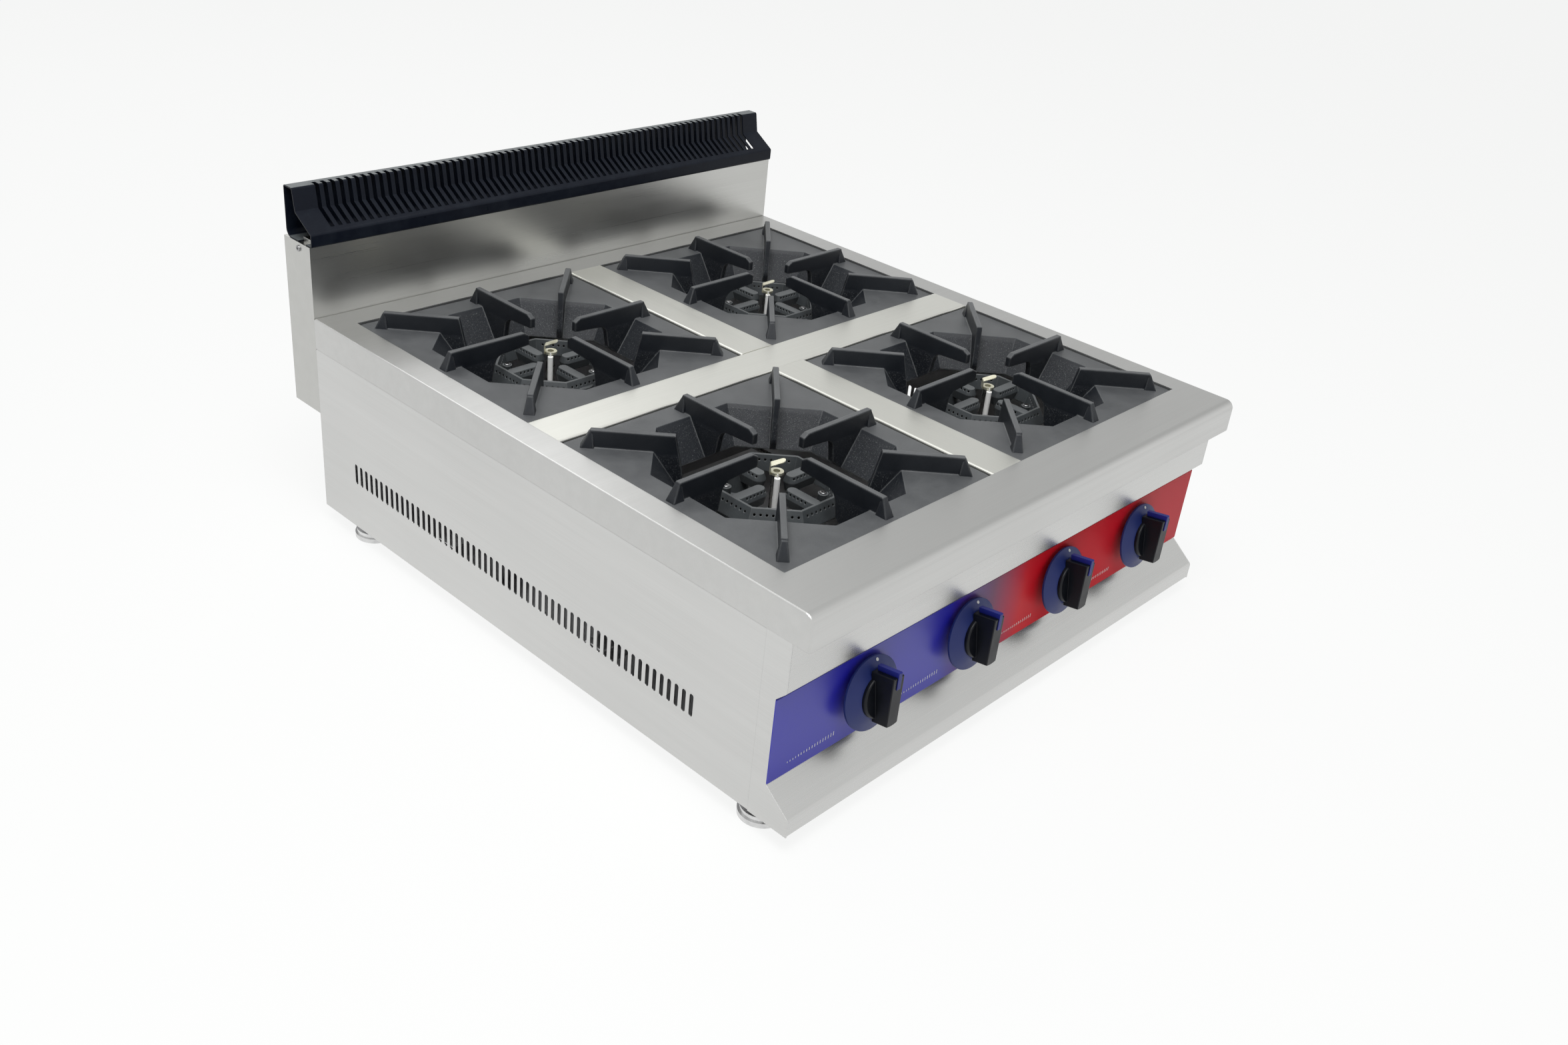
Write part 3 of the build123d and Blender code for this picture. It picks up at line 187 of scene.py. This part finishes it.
# The grain runs along X (0) or Y (1); warmth takes a little blue away
finishes = {
    "steelAcross": {
        "grain": 0, "tones": (0.535, 0.595), "warmth": 0.010, "rough": (0.28, 0.37), "lines": 0.22,
    },
    "frontSteel": {
        "grain": 0, "tones": (0.555, 0.600), "warmth": 0.010, "rough": (0.24, 0.31), "lines": 0.10,
    },
    "steelDeep": {
        "grain": 1, "tones": (0.600, 0.650), "warmth": 0.010, "rough": (0.34, 0.44), "lines": 0.22,
    },
    "fluePlate": {
        "grain": 0, "tones": (0.500, 0.545), "warmth": 0.018, "rough": (0.27, 0.34), "lines": 0.22,
    },
    "rowStrip": {
        "grain": 0, "tones": (0.70, 0.78), "warmth": 0.045, "rough": (0.34, 0.46), "lines": 0.22,
    },
    "columnStrip": {
        "grain": 1, "tones": (0.67, 0.75), "warmth": 0.045, "rough": (0.34, 0.46), "lines": 0.22,
    },
    "zincSheet": {
        "grain": 0, "tones": (0.42, 0.53), "warmth": -0.01, "rough": (0.40, 0.55), "lines": 0.15,
    },
}


def brushedSteel(name):
    finish = finishes[name]
    s = Shader(name)
    lineScale = [steel["lineScale"]] * 3
    bandScale = [steel["bandScale"]] * 3
    lineScale[finish["grain"]] = steel["alongScale"]
    bandScale[finish["grain"]] = steel["alongScale"] / steel["bandStretch"]
    lines = s.noise(s.scaled(lineScale), 1.0, 3.0, 0.6)
    bands = s.noise(s.scaled(bandScale), 1.0)
    cloud = s.noise(s.place, steel["cloudScale"])
    streaks = lines * steel["lineShare"] + bands * steel["bandShare"] + cloud * steel["cloudShare"]
    roughLow, roughHigh = finish["rough"]
    tones = [(tone, tone, tone - finish["warmth"], 1) for tone in finish["tones"]]
    return s.finish(
        Base_Color=s.mix(s.span(streaks, *steel["streakRange"]), *tones),
        Metallic=1.0,
        Roughness=s.span(streaks, *steel["streakRange"], roughHigh, roughLow),
        Normal=s.bump(lines, finish["lines"], steel["lineDepth"], s.rounded(steel["edgeRadius"])),
    )


steelDeep = brushedSteel("steelDeep")
columnSteel = brushedSteel("columnStrip")
paint(brushedSteel("steelAcross"), "hob_frame")
paint(brushedSteel("frontSteel"), "front_frame")
paint(brushedSteel("fluePlate"), "flue_box")
paint(steelDeep, "side_panel_left", "side_panel_right", "front_cheek_left", "front_cheek_right")
paint(brushedSteel("rowStrip"), "row_strip")
paint(columnSteel, "column_strip_front", "column_strip_rear")
zincSheet = brushedSteel("zincSheet")
paint(zincSheet, "base_pan", "back_panel", "burner_rails")
paint(zincSheet, "manifold_brackets", "pilot_brackets", "air_shutters")
print("sheet metal painted")


# Printed control panel: blue at the left, red at the right, the lacquer thick on the blue
panelPrint = {
    "left": -0.40,
    "right": 0.40,
    "colours": [
        (0.0, (0.014, 0.013, 0.40)),
        (0.345, (0.014, 0.013, 0.40)),
        (0.447, (0.15, 0.020, 0.10)),
        (0.53, (0.62, 0.005, 0.016)),
        (1.0, (0.58, 0.006, 0.020)),
    ],
    "lacquer": [
        (0.0, 0.95), (0.345, 0.90), (0.50, 0.30), (0.60, 0.0), (0.72, 0.03), (0.90, 0.24),
        (1.0, 0.24),
    ],
    "rough": 0.45,
    "specular": 0.07,
    "coatRough": 0.33,
    "grainScale": 900.0,
    "grainStrength": 0.04,
    "grainDepth": 0.0001,
}


def printedPanel():
    s = Shader("printedPanel")
    grain = s.noise(s.place, panelPrint["grainScale"])
    fac = s.span(s.axis("X", s.place), panelPrint["left"], panelPrint["right"])
    lacquer = [(at, (amount, amount, amount)) for at, amount in panelPrint["lacquer"]]
    return s.finish(
        Base_Color=s.ramp(fac, panelPrint["colours"]),
        Roughness=panelPrint["rough"],
        Specular_IOR_Level=panelPrint["specular"],
        Coat_Weight=s.ramp(fac, lacquer) * 1.0,  # The product turns the grey into a number
        Coat_Roughness=panelPrint["coatRough"],
        Normal=s.bump(grain, panelPrint["grainStrength"], panelPrint["grainDepth"]),
    )


paint(printedPanel(), "control_panel")


# Black enamel on the flue cap, with a slight orange peel, and patches of lighter grey on its faces
# that look up
enamel = {
    "black": (0.004, 0.006, 0.012, 1),
    "patchy": (0.010, 0.014, 0.021, 1),
    "upFacingGrey": (0.15, 0.165, 0.17, 1),
    "rough": (0.26, 0.42),
    "specular": 0.14,
    "edge": 0.0008,
    "level": (0.90, 0.99),
    "patchScale": 40.0,
    "peelScale": 260.0,
    "peelStrength": 0.12,
    "peelDepth": 0.0004,
}


def blackEnamel():
    s = Shader("blackEnamel")
    peel = s.noise(s.place, enamel["peelScale"])
    patches = s.noise(s.place, enamel["patchScale"], 4.0, 0.7)
    coat = s.mix(s.span(patches, 0.45, 0.75, 0.0, 0.6), enamel["black"], enamel["patchy"])
    # Lighter grey in patches, only on the faces that look up
    upFacingPatches = s.level(*enamel["level"]) * s.span(patches, 0.3, 0.6, 0.6, 1.0)
    edge = s.rounded(enamel["edge"])
    return s.finish(
        Base_Color=s.mix(upFacingPatches, coat, enamel["upFacingGrey"]),
        Roughness=s.span(patches, 0.3, 0.7, *enamel["rough"]),
        Specular_IOR_Level=enamel["specular"],
        Normal=s.bump(peel, enamel["peelStrength"], enamel["peelDepth"], edge),
    )


paint(blackEnamel(), "flue_cap")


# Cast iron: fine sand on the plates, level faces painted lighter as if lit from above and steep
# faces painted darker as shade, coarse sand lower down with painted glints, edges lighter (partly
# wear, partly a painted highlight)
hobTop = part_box("hob_frame")[1][2]
iron = {
    "sandScale": 2400.0,
    "gritScale": 720.0,
    "speckScale": 620.0,
    "stainScale": 24.0,
    "level": (0.55, 0.96),
    "coarseFade": 0.004,
    "paintedGlint": (0.57, 0.68),
    "paintedGlintShare": 0.6,
    "wornHighlightReach": 0.16,
    "wornHighlightShare": 0.65,
    "wornPolish": 0.1,
    "stainShare": 0.7,
    "sandShare": 0.5,
    "coarseGrit": 1.4,
    "fineGrit": 0.25,
    "depth": 0.0012,
    "specular": 0.38,
}
# steep holds painted shade for steep faces, level holds painted light for level faces; the edge
# colour is partly wear and partly a painted highlight
castings = {
    "grateIron": {
        "steep": [(0.006, 0.008, 0.012, 1), (0.012, 0.015, 0.020, 1)],
        "level": [(0.064, 0.068, 0.072, 1), (0.110, 0.115, 0.119, 1)],
        "wornHighlight": (0.21, 0.22, 0.225, 1),
        "rough": (0.34, 0.46),
        "coarseBelow": hobTop - 0.004,
        "edge": 0.0026,
        "sand": 0.40,
    },
    "burnerIron": {
        "steep": [(0.040, 0.046, 0.050, 1), (0.066, 0.073, 0.077, 1)],
        "level": [(0.085, 0.092, 0.096, 1), (0.120, 0.128, 0.132, 1)],
        "wornHighlight": (0.21, 0.22, 0.22, 1),
        "rough": (0.38, 0.50),
        "coarseBelow": 0.0,
        "edge": 0.0014,
        "sand": 0.25,
    },
}


def castIron(name):
    cast = castings[name]
    s = Shader(name)
    sand = s.noise(s.place, iron["sandScale"], 2.0, 0.6)
    grit = s.noise(s.place, iron["gritScale"], 3.0, 0.75)
    stain = s.noise(s.place, iron["stainScale"], 5.0, 0.65)
    specks = s.span(s.noise(s.place, iron["speckScale"], 3.0, 0.7), 0.35, 0.65, 0.0, 0.3)
    coarseFull = cast["coarseBelow"] - iron["coarseFade"]
    coarse = s.span(s.axis("Z", s.place), cast["coarseBelow"], coarseFull)
    rounded = s.rounded(cast["edge"])
    # Edges painted lighter: partly wear, partly a painted highlight along the rounded crests
    wornHighlight = s.edges(rounded, iron["wornHighlightReach"]) * s.span(stain, 0.35, 0.6, 0.4, 1.0)
    # Painted glints: pale specks on the coarse sand in place of grains catching the light
    paintedGlint = s.span(grit, *iron["paintedGlint"]) * coarse
    cloudy = s.span(stain, 0.33, 0.68) * iron["stainShare"] + specks
    # Painted light and shade: level faces take the lighter colours as if lit from above, steep
    # faces the near-black ones as shade
    body = s.mix(
        s.level(*iron["level"]), s.mix(cloudy, *cast["steep"]), s.mix(cloudy, *cast["level"])
    )
    # Lighter colour from the edge highlight and from the painted glints on the sand
    bright = wornHighlight * iron["wornHighlightShare"] + paintedGlint * iron["paintedGlintShare"]
    grain = sand * iron["sandShare"] + grit * (coarse * iron["coarseGrit"] + iron["fineGrit"])
    return s.finish(
        Base_Color=s.mix(bright, body, cast["wornHighlight"]),
        Roughness=s.span(stain, 0.3, 0.7, *cast["rough"]) - wornHighlight * iron["wornPolish"],
        Specular_IOR_Level=iron["specular"],
        Normal=s.bump(grain, cast["sand"], iron["depth"], rounded),
    )


grateIron = castIron("grateIron")
burnerIron = castIron("burnerIron")
for place in places:
    paint(grateIron, "grate_" + place)
    paint(burnerIron, "burner_head_" + place, "burner_mixer_" + place)
print("cast iron painted")


# Moulded plastic, and the glazed ceramic of the electrodes: colour, roughness, gloss
moulded = {
    "skirtBlue": ((0.015, 0.027, 0.140, 1), 0.36, 0.32),
    "pointerBlue": ((0.012, 0.018, 0.19, 1), 0.34, 0.3),
    "gripBlack": ((0.003, 0.004, 0.007, 1), 0.30, 0.26),
    "markWhite": ((0.80, 0.80, 0.80, 1), 0.4, 0.5),
    "ceramic": ((0.93, 0.93, 0.91, 1), 0.22, 0.5),
}
mouldedSkin = {
    "textureScale": 1800.0,
    "textureStrength": 0.05,
    "textureDepth": 0.0001,
    "sheenScale": 60.0,
    "sheenSpread": 0.1,
    "edge": 0.0009,
}


def mouldedPlastic(name):
    colour, roughness, gloss = moulded[name]
    skin = mouldedSkin
    s = Shader(name)
    texture = s.noise(s.place, skin["textureScale"])
    sheen = s.noise(s.place, skin["sheenScale"])
    edge = s.rounded(skin["edge"])
    return s.finish(
        Base_Color=colour,
        Roughness=s.span(sheen, 0.3, 0.7, roughness, roughness + skin["sheenSpread"]),
        Specular_IOR_Level=gloss,
        Normal=s.bump(texture, skin["textureStrength"], skin["textureDepth"], edge),
    )


# Metals without grain: dark tone, light tone, roughness from and to, metallic
metals = {
    "chrome": ((0.60, 0.60, 0.60, 1), (0.74, 0.74, 0.74, 1), 0.14, 0.24, 1.0),
    "screwSteel": ((0.26, 0.26, 0.265, 1), (0.40, 0.40, 0.405, 1), 0.20, 0.32, 1.0),
    "brass": ((0.60, 0.44, 0.19, 1), (0.72, 0.56, 0.28, 1), 0.26, 0.40, 1.0),
    "hoodMetal": ((0.70, 0.68, 0.52, 1), (0.80, 0.78, 0.64, 1), 0.34, 0.48, 1.0),
    "pilotMetal": ((0.30, 0.29, 0.27, 1), (0.42, 0.41, 0.39, 1), 0.22, 0.34, 1.0),
    "pipeSteel": ((0.08, 0.08, 0.085, 1), (0.13, 0.13, 0.135, 1), 0.40, 0.55, 0.6),
}
metalSkin = {"cloudScale": 90.0, "grainScale": 500.0, "grainStrength": 0.08, "grainDepth": 0.0002}


def plainMetal(name):
    dark, light, roughLow, roughHigh, metallic = metals[name]
    s = Shader(name)
    cloud = s.noise(s.place, metalSkin["cloudScale"], 3.0)
    grain = s.noise(s.place, metalSkin["grainScale"])
    return s.finish(
        Base_Color=s.mix(s.span(cloud, 0.35, 0.65), dark, light),
        Metallic=metallic,
        Roughness=s.span(cloud, 0.3, 0.7, roughLow, roughHigh),
        Normal=s.bump(grain, metalSkin["grainStrength"], metalSkin["grainDepth"]),
    )


markWhite = mouldedPlastic("markWhite")
screwSteel = plainMetal("screwSteel")
chrome = plainMetal("chrome")
brass = plainMetal("brass")
skirtBlue = mouldedPlastic("skirtBlue")
pointerBlue = mouldedPlastic("pointerBlue")
gripBlack = mouldedPlastic("gripBlack")
paint(chrome, "levelling_feet", "foot_nuts", "screws")
paint(brass, "injectors", "tap_bodies")
paint(plainMetal("hoodMetal"), "pilot_hoods")
paint(plainMetal("pilotMetal"), "pilot_tubes")
paint(plainMetal("pipeSteel"), "manifold_pipe", "gas_supply_pipe")
paint(mouldedPlastic("ceramic"), "igniter_electrodes")
for place in places:
    paint(brass, "tap_plug_" + place)
    paint(chrome, "tap_stem_" + place)
    paint(skirtBlue, "knob_skirt_" + place)
    paint(pointerBlue, "knob_pointer_" + place)
    paint(gripBlack, "knob_grip_" + place)
print("knobs and fittings painted")


def meshFrom(name, bm):
    mesh = bpy.data.meshes.new(name)
    bm.to_mesh(mesh)
    bm.free()
    return mesh


# Adds one finished part to a larger bmesh
def joinPart(whole, bm):
    part = meshFrom("part", bm)
    whole.from_mesh(part)
    bpy.data.meshes.remove(part)


def addPiece(name, bm, material, body):
    bmesh.ops.recalc_face_normals(bm, faces=bm.faces)
    mesh = meshFrom(name, bm)
    mesh.materials.append(material)
    piece = bpy.data.objects.new(name, mesh)
    bpy.context.scene.collection.objects.link(piece)
    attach(piece, body)
    return piece


def bevelEdges(bm, edges, offset):
    return bmesh.ops.bevel(
        bm, geom=edges, offset=offset, offset_type="OFFSET", segments=3,
        profile=0.5, affect="EDGES", material=-1,
    )


# The boxes of the separate solids in one node, lowest x first
def solidBoxes(name):
    bm = bmesh.new()
    bm.from_mesh(nodes[name].data)
    bmesh.ops.remove_doubles(bm, verts=bm.verts, dist=0.00002)
    boxes = []
    unseen = set(bm.verts)
    while unseen:
        edge = [unseen.pop()]
        found = list(edge)
        while edge:
            near = {link.other_vert(vert) for vert in edge for link in vert.link_edges} & unseen
            unseen -= near
            edge = list(near)
            found += edge
        low = Vector(min(vert.co[axis] for vert in found) for axis in range(3))
        high = Vector(max(vert.co[axis] for vert in found) for axis in range(3))
        boxes.append((low, high))
    bm.free()
    return sorted(boxes, key=lambda box: tuple(box[0]))


# Flared toes where the grate's fins run out on the rim plate
finToe = {
    "count": 8,
    "plateDrop": 0.0025,
    "sunk": 0.0010,
    "rise": 0.0165,
    "midReach": 0.1617,
    "cornerReach": 0.2163,
    "long": 0.016,
    "topLong": 0.004,
    "toeRun": 0.0098,
    "halfWide": 0.0068,
    "topHalf": 0.0034,
    "edge": 0.0010,
}


def flaredToe(bm, reach, bearing):
    toe = bmesh.ops.create_cube(bm, size=1.0)["verts"]
    rise = finToe["rise"] + finToe["plateDrop"] + finToe["sunk"]
    middle = (reach - finToe["long"] / 2, 0, finToe["rise"] - rise / 2)
    bmesh.ops.scale(bm, vec=(finToe["long"], 2 * finToe["halfWide"], rise), verts=toe)
    bmesh.ops.translate(bm, vec=middle, verts=toe)
    crest = [vert for vert in toe if vert.co.z > 0]
    outer = reach - finToe["toeRun"]
    for vert in crest:
        vert.co.x = outer if vert.co.x > outer else outer - finToe["topLong"]
    bmesh.ops.scale(bm, vec=(1, finToe["topHalf"] / finToe["halfWide"], 1), verts=crest)
    edges = list({edge for vert in crest for edge in vert.link_edges})
    rounded = bevelEdges(bm, edges, finToe["edge"])
    toe = list({vert for vert in toe if vert.is_valid} | set(rounded["verts"]))
    bmesh.ops.rotate(bm, verts=toe, matrix=Matrix.Rotation(math.radians(bearing), 3, "Z"))


def grateToes(place):
    low, high = (Vector(corner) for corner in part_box("grate_" + place))
    middle = (low + high) / 2
    whole = bmesh.new()
    for step in range(finToe["count"]):
        bm = bmesh.new()
        reach = finToe["cornerReach"] if step % 2 else finToe["midReach"]
        flaredToe(bm, reach, 360 / finToe["count"] * step)
        bm.transform(Matrix.Translation((middle.x, middle.y, hobTop)))
        joinPart(whole, bm)
    addPiece("fin_toes_" + place, whole, grateIron, "grate_" + place)


for place in places:
    grateToes(place)
print("fin toes made")


# Pan-head screws with a crossed recess
screwHead = {
    "sides": 24,
    "shankSides": 12,
    "shankRadius": 0.0015,
    "shankLength": 0.005,
    "crown": 0.0008,
    "slotHalf": 0.00055,
    "slotReach": 0.0021,
    "slotDepth": 0.0010,
    "turnStep": 0.7,
    "rimFrom": 0.9,
    "topFrom": 0.99,
}


def panHead(bm, radius, head, turn):
    made = bmesh.ops.create_cone(
        bm, cap_ends=True, segments=screwHead["sides"], radius1=radius, radius2=radius,
        depth=head, matrix=Matrix.Translation((0, 0, head / 2)),
    )
    rimZ = head * screwHead["rimFrom"]
    topZ = head * screwHead["topFrom"]
    rim = {edge for vert in made["verts"] for edge in vert.link_edges}
    rim = [edge for edge in rim if min(vert.co.z for vert in edge.verts) > rimZ]
    bevelEdges(bm, rim, screwHead["crown"])
    # The top is cut along both sides of each arm of the cross
    for side in (-1, 1):
        for limit in (screwHead["slotHalf"], screwHead["slotReach"]):
            for axis in ((1, 0, 0), (0, 1, 0)):
                top = [face for face in bm.faces if face.calc_center_median().z > topZ]
                geom = list({item for face in top for item in (face, *face.edges, *face.verts)})
                cut = Vector(axis) * side * limit
                bmesh.ops.bisect_plane(bm, geom=geom, plane_co=cut, plane_no=axis)
    cross = []
    for face in bm.faces:
        middle = face.calc_center_median()
        near, far = sorted((abs(middle.x), abs(middle.y)))
        if middle.z > topZ and near < screwHead["slotHalf"] and far < screwHead["slotReach"]:
            cross.append(face)
    sunk = bmesh.ops.extrude_face_region(bm, geom=cross)["geom"]
    sunk = [item for item in sunk if isinstance(item, bmesh.types.BMVert)]
    bmesh.ops.translate(bm, vec=(0, 0, -screwHead["slotDepth"]), verts=sunk)
    bmesh.ops.delete(bm, geom=[face for face in cross if face.is_valid], context="FACES_ONLY")
    shank = screwHead["shankLength"]
    bmesh.ops.create_cone(
        bm, cap_ends=True, segments=screwHead["shankSides"], radius1=screwHead["shankRadius"],
        radius2=screwHead["shankRadius"], depth=shank,
        matrix=Matrix.Translation((0, 0, -shank / 2)),
    )
    bmesh.ops.rotate(bm, verts=bm.verts, matrix=Matrix.Rotation(turn, 3, "Z"))


def makeScrews():
    whole = bmesh.new()
    for index, (low, high) in enumerate(solidBoxes("screws")):
        size = high - low
        axis = min(range(3), key=lambda i: size[i])
        outward = Vector((0, 0, 0))
        outward[axis] = -1 if axis == 0 and low.x < 0 else 1
        radius = (size.x + size.y + size.z - size[axis]) / 4
        head = size[axis] - screwHead["shankLength"]
        seat = (low + high) / 2
        seat[axis] = (low[axis] if outward[axis] < 0 else high[axis]) - outward[axis] * head
        bm = bmesh.new()
        panHead(bm, radius, head, index * screwHead["turnStep"])
        turn = outward.to_track_quat("Z", "Y").to_matrix().to_4x4()
        bm.transform(Matrix.Translation(seat) @ turn)
        joinPart(whole, bm)
    piece = addPiece("panHeadScrews", whole, screwSteel, "body")
    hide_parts("screws")


makeScrews()
print("screws made")


# White dot on each knob skirt, and ticks beside each knob that rise from low to high heat
knobMarks = {
    "knobUp": 0.1029,
    "tilt": math.radians(9.5),
    "proud": 0.00015,
    "dotUp": 0.0375,
    "dotAside": 0.0065,
    "dotReach": 0.0147,
    "dotRadius": 0.0019,
    "dotLean": math.radians(22.4),
    "dotSides": 24,
    "bars": 18,
    "barPitch": 0.0041,
    "barWidth": 0.0010,
    "barLow": 0.0018,
    "barStep": 0.0002,
    "left": 0.1085,
    "below": 0.0413,
}


# The knob's middle on the face of the panel
def knobMiddle(place):
    skirtLow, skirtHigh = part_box("knob_skirt_" + place)
    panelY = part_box("control_panel")[0][1]
    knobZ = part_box("front_frame")[0][2] + knobMarks["knobUp"]
    return Vector(((skirtLow[0] + skirtHigh[0]) / 2, panelY, knobZ))


def skirtDot(place):
    tilt = knobMarks["tilt"]
    outward = Vector((0, -math.cos(tilt), math.sin(tilt)))
    upward = Vector((0, math.sin(tilt), math.cos(tilt)))
    bm = bmesh.new()
    bmesh.ops.create_cone(
        bm, cap_ends=True, segments=knobMarks["dotSides"], radius1=knobMarks["dotRadius"],
        radius2=knobMarks["dotRadius"], depth=2 * knobMarks["proud"],
    )
    facing = Matrix.Rotation(-knobMarks["dotLean"] - tilt + math.pi / 2, 4, "X")
    aside = Vector((knobMarks["dotAside"], 0, 0))
    spot = knobMiddle(place) + aside
    spot += upward * knobMarks["dotUp"] + outward * knobMarks["dotReach"]
    bm.transform(Matrix.Translation(spot) @ facing)
    addPiece("skirt_dot_" + place, bm, markWhite, "knob_" + place)


def risingTicks(place):
    middle = knobMiddle(place)
    foot = middle.z - knobMarks["below"]
    bm = bmesh.new()
    for bar in range(knobMarks["bars"]):
        tall = knobMarks["barLow"] + bar * knobMarks["barStep"]
        made = bmesh.ops.create_cube(bm, size=1.0)["verts"]
        size = Vector((knobMarks["barWidth"], 2 * knobMarks["proud"], tall))
        bmesh.ops.scale(bm, vec=size, verts=made)
        barX = middle.x - knobMarks["left"] + bar * knobMarks["barPitch"]
        bmesh.ops.translate(bm, vec=(barX, middle.y, foot + tall / 2), verts=made)
    addPiece("flame_bars_" + place, bm, markWhite, "body")


for place in places:
    skirtDot(place)
    risingTicks(place)
print("knob marks made")


# Camera where the photograph was taken from
camera = {
    "place": (-1.2619, -1.1291, 1.0064),
    "yaw": 0.866119,
    "pitch": 0.515867,
    "roll": 0.111388,
    "focal": 2167.162,
    "imageWidth": 2352,
    "sensorWidth": 36.0,
    "clip": (0.05, 60.0),
}


def aimCamera():
    data = bpy.data.cameras.new("camera")
    data.sensor_width = camera["sensorWidth"]
    data.lens = camera["focal"] / camera["imageWidth"] * camera["sensorWidth"]
    data.clip_start, data.clip_end = camera["clip"]
    eye = bpy.data.objects.new("camera", data)
    bpy.context.scene.collection.objects.link(eye)
    yaw, pitch, roll = camera["yaw"], camera["pitch"], camera["roll"]
    flat = math.cos(pitch)
    ahead = Vector((math.sin(yaw) * flat, math.cos(yaw) * flat, -math.sin(pitch)))
    right = ahead.cross(Vector((0, 0, 1))).normalized()
    up = right.cross(ahead)
    tiltedRight = right * math.cos(roll) + up * math.sin(roll)
    tiltedUp = up * math.cos(roll) - right * math.sin(roll)
    turn = Matrix((tiltedRight, tiltedUp, -ahead)).transposed().to_4x4()
    eye.matrix_world = Matrix.Translation(camera["place"]) @ turn
    bpy.context.scene.camera = eye


aimCamera()


# Studio: pale floor, pale world that is dimmer towards the back right, soft lamps
studio = {
    "floorSize": 40.0,
    "floorColour": (0.93, 0.93, 0.925, 1),
    "floorWhite": 0.88,
    "white": (0.985, 0.99, 0.985, 1),
    "softLight": 0.26,
    "bright": (0.90, 0.905, 0.90, 1),
    "dim": (0.58, 0.585, 0.58, 1),
    "horizon": (1.0, 1.0, 0.995, 1),
    "dimAcross": (0.48, 0.66),
    "dimDepth": (-0.45, -0.05),
    "horizonRise": (0.10, 0.42),
    "lampTarget": (0, 0, 0.15),
}
lamps = {
    "keyLamp": {"place": (-0.9, -0.7, 2.8), "size": (1.8, 1.8), "power": 72},
    "backLamp": {"place": (0.6, 2.6, 2.6), "size": (2.6, 1.4), "power": 16},
}


def paleFloor():
    s = Shader("paleFloor")
    bm = bmesh.new()
    bmesh.ops.create_grid(bm, x_segments=1, y_segments=1, size=studio["floorSize"] / 2)
    mesh = meshFrom("floor", bm)
    floor = bpy.data.objects.new("floor", mesh)
    bpy.context.scene.collection.objects.link(floor)
    direct = (s.rays("Is Camera Ray") + s.rays("Is Glossy Ray")) * studio["floorWhite"]
    lit = s.node("ShaderNodeBsdfDiffuse", Color=studio["floorColour"])
    white = s.node("ShaderNodeEmission", Color=studio["white"], Strength=1.0)
    s.node("ShaderNodeOutputMaterial", Surface=s.mixShader(direct, lit, white))
    mesh.materials.append(s.material)


def background(s, colour, strength):
    return s.node("ShaderNodeBackground", Color=colour, Strength=strength)


# The world's coordinates are the direction that is looked in
def paleWorld():
    world = bpy.data.worlds.new("studio")
    bpy.context.scene.world = world
    world.use_nodes = True
    s = Shader("studio", world.node_tree, "Generated")
    corner = s.span(s.axis("X", s.place), *studio["dimAcross"])
    corner = corner * s.span(s.axis("Y", s.place), *studio["dimDepth"])
    above = s.mix(corner, studio["bright"], studio["dim"])
    low = s.span(s.axis("Z", s.place), *studio["horizonRise"], 1.0, 0.0)
    soft = background(s, studio["white"], studio["softLight"])
    gloss = background(s, s.mix(low, above, studio["horizon"]), 1.0)
    seen = background(s, studio["white"], 1.0)
    around = s.mixShader(s.rays("Is Glossy Ray"), soft, gloss)
    shown = s.mixShader(s.rays("Is Camera Ray"), around, seen)
    s.node("ShaderNodeOutputWorld", Surface=shown)


def softLamp(name):
    lamp = lamps[name]
    data = bpy.data.lights.new(name, "AREA")
    data.shape = "RECTANGLE"
    data.size, data.size_y = lamp["size"]
    data.energy = lamp["power"]
    hung = bpy.data.objects.new(name, data)
    hung.location = lamp["place"]
    downward = Vector(studio["lampTarget"]) - Vector(lamp["place"])
    hung.rotation_mode = "QUATERNION"
    hung.rotation_quaternion = downward.to_track_quat("-Z", "Y")
    bpy.context.scene.collection.objects.link(hung)


paleFloor()
paleWorld()
for name in lamps:
    softLamp(name)
bpy.context.scene.view_settings.view_transform = "Standard"
print("studio ready")
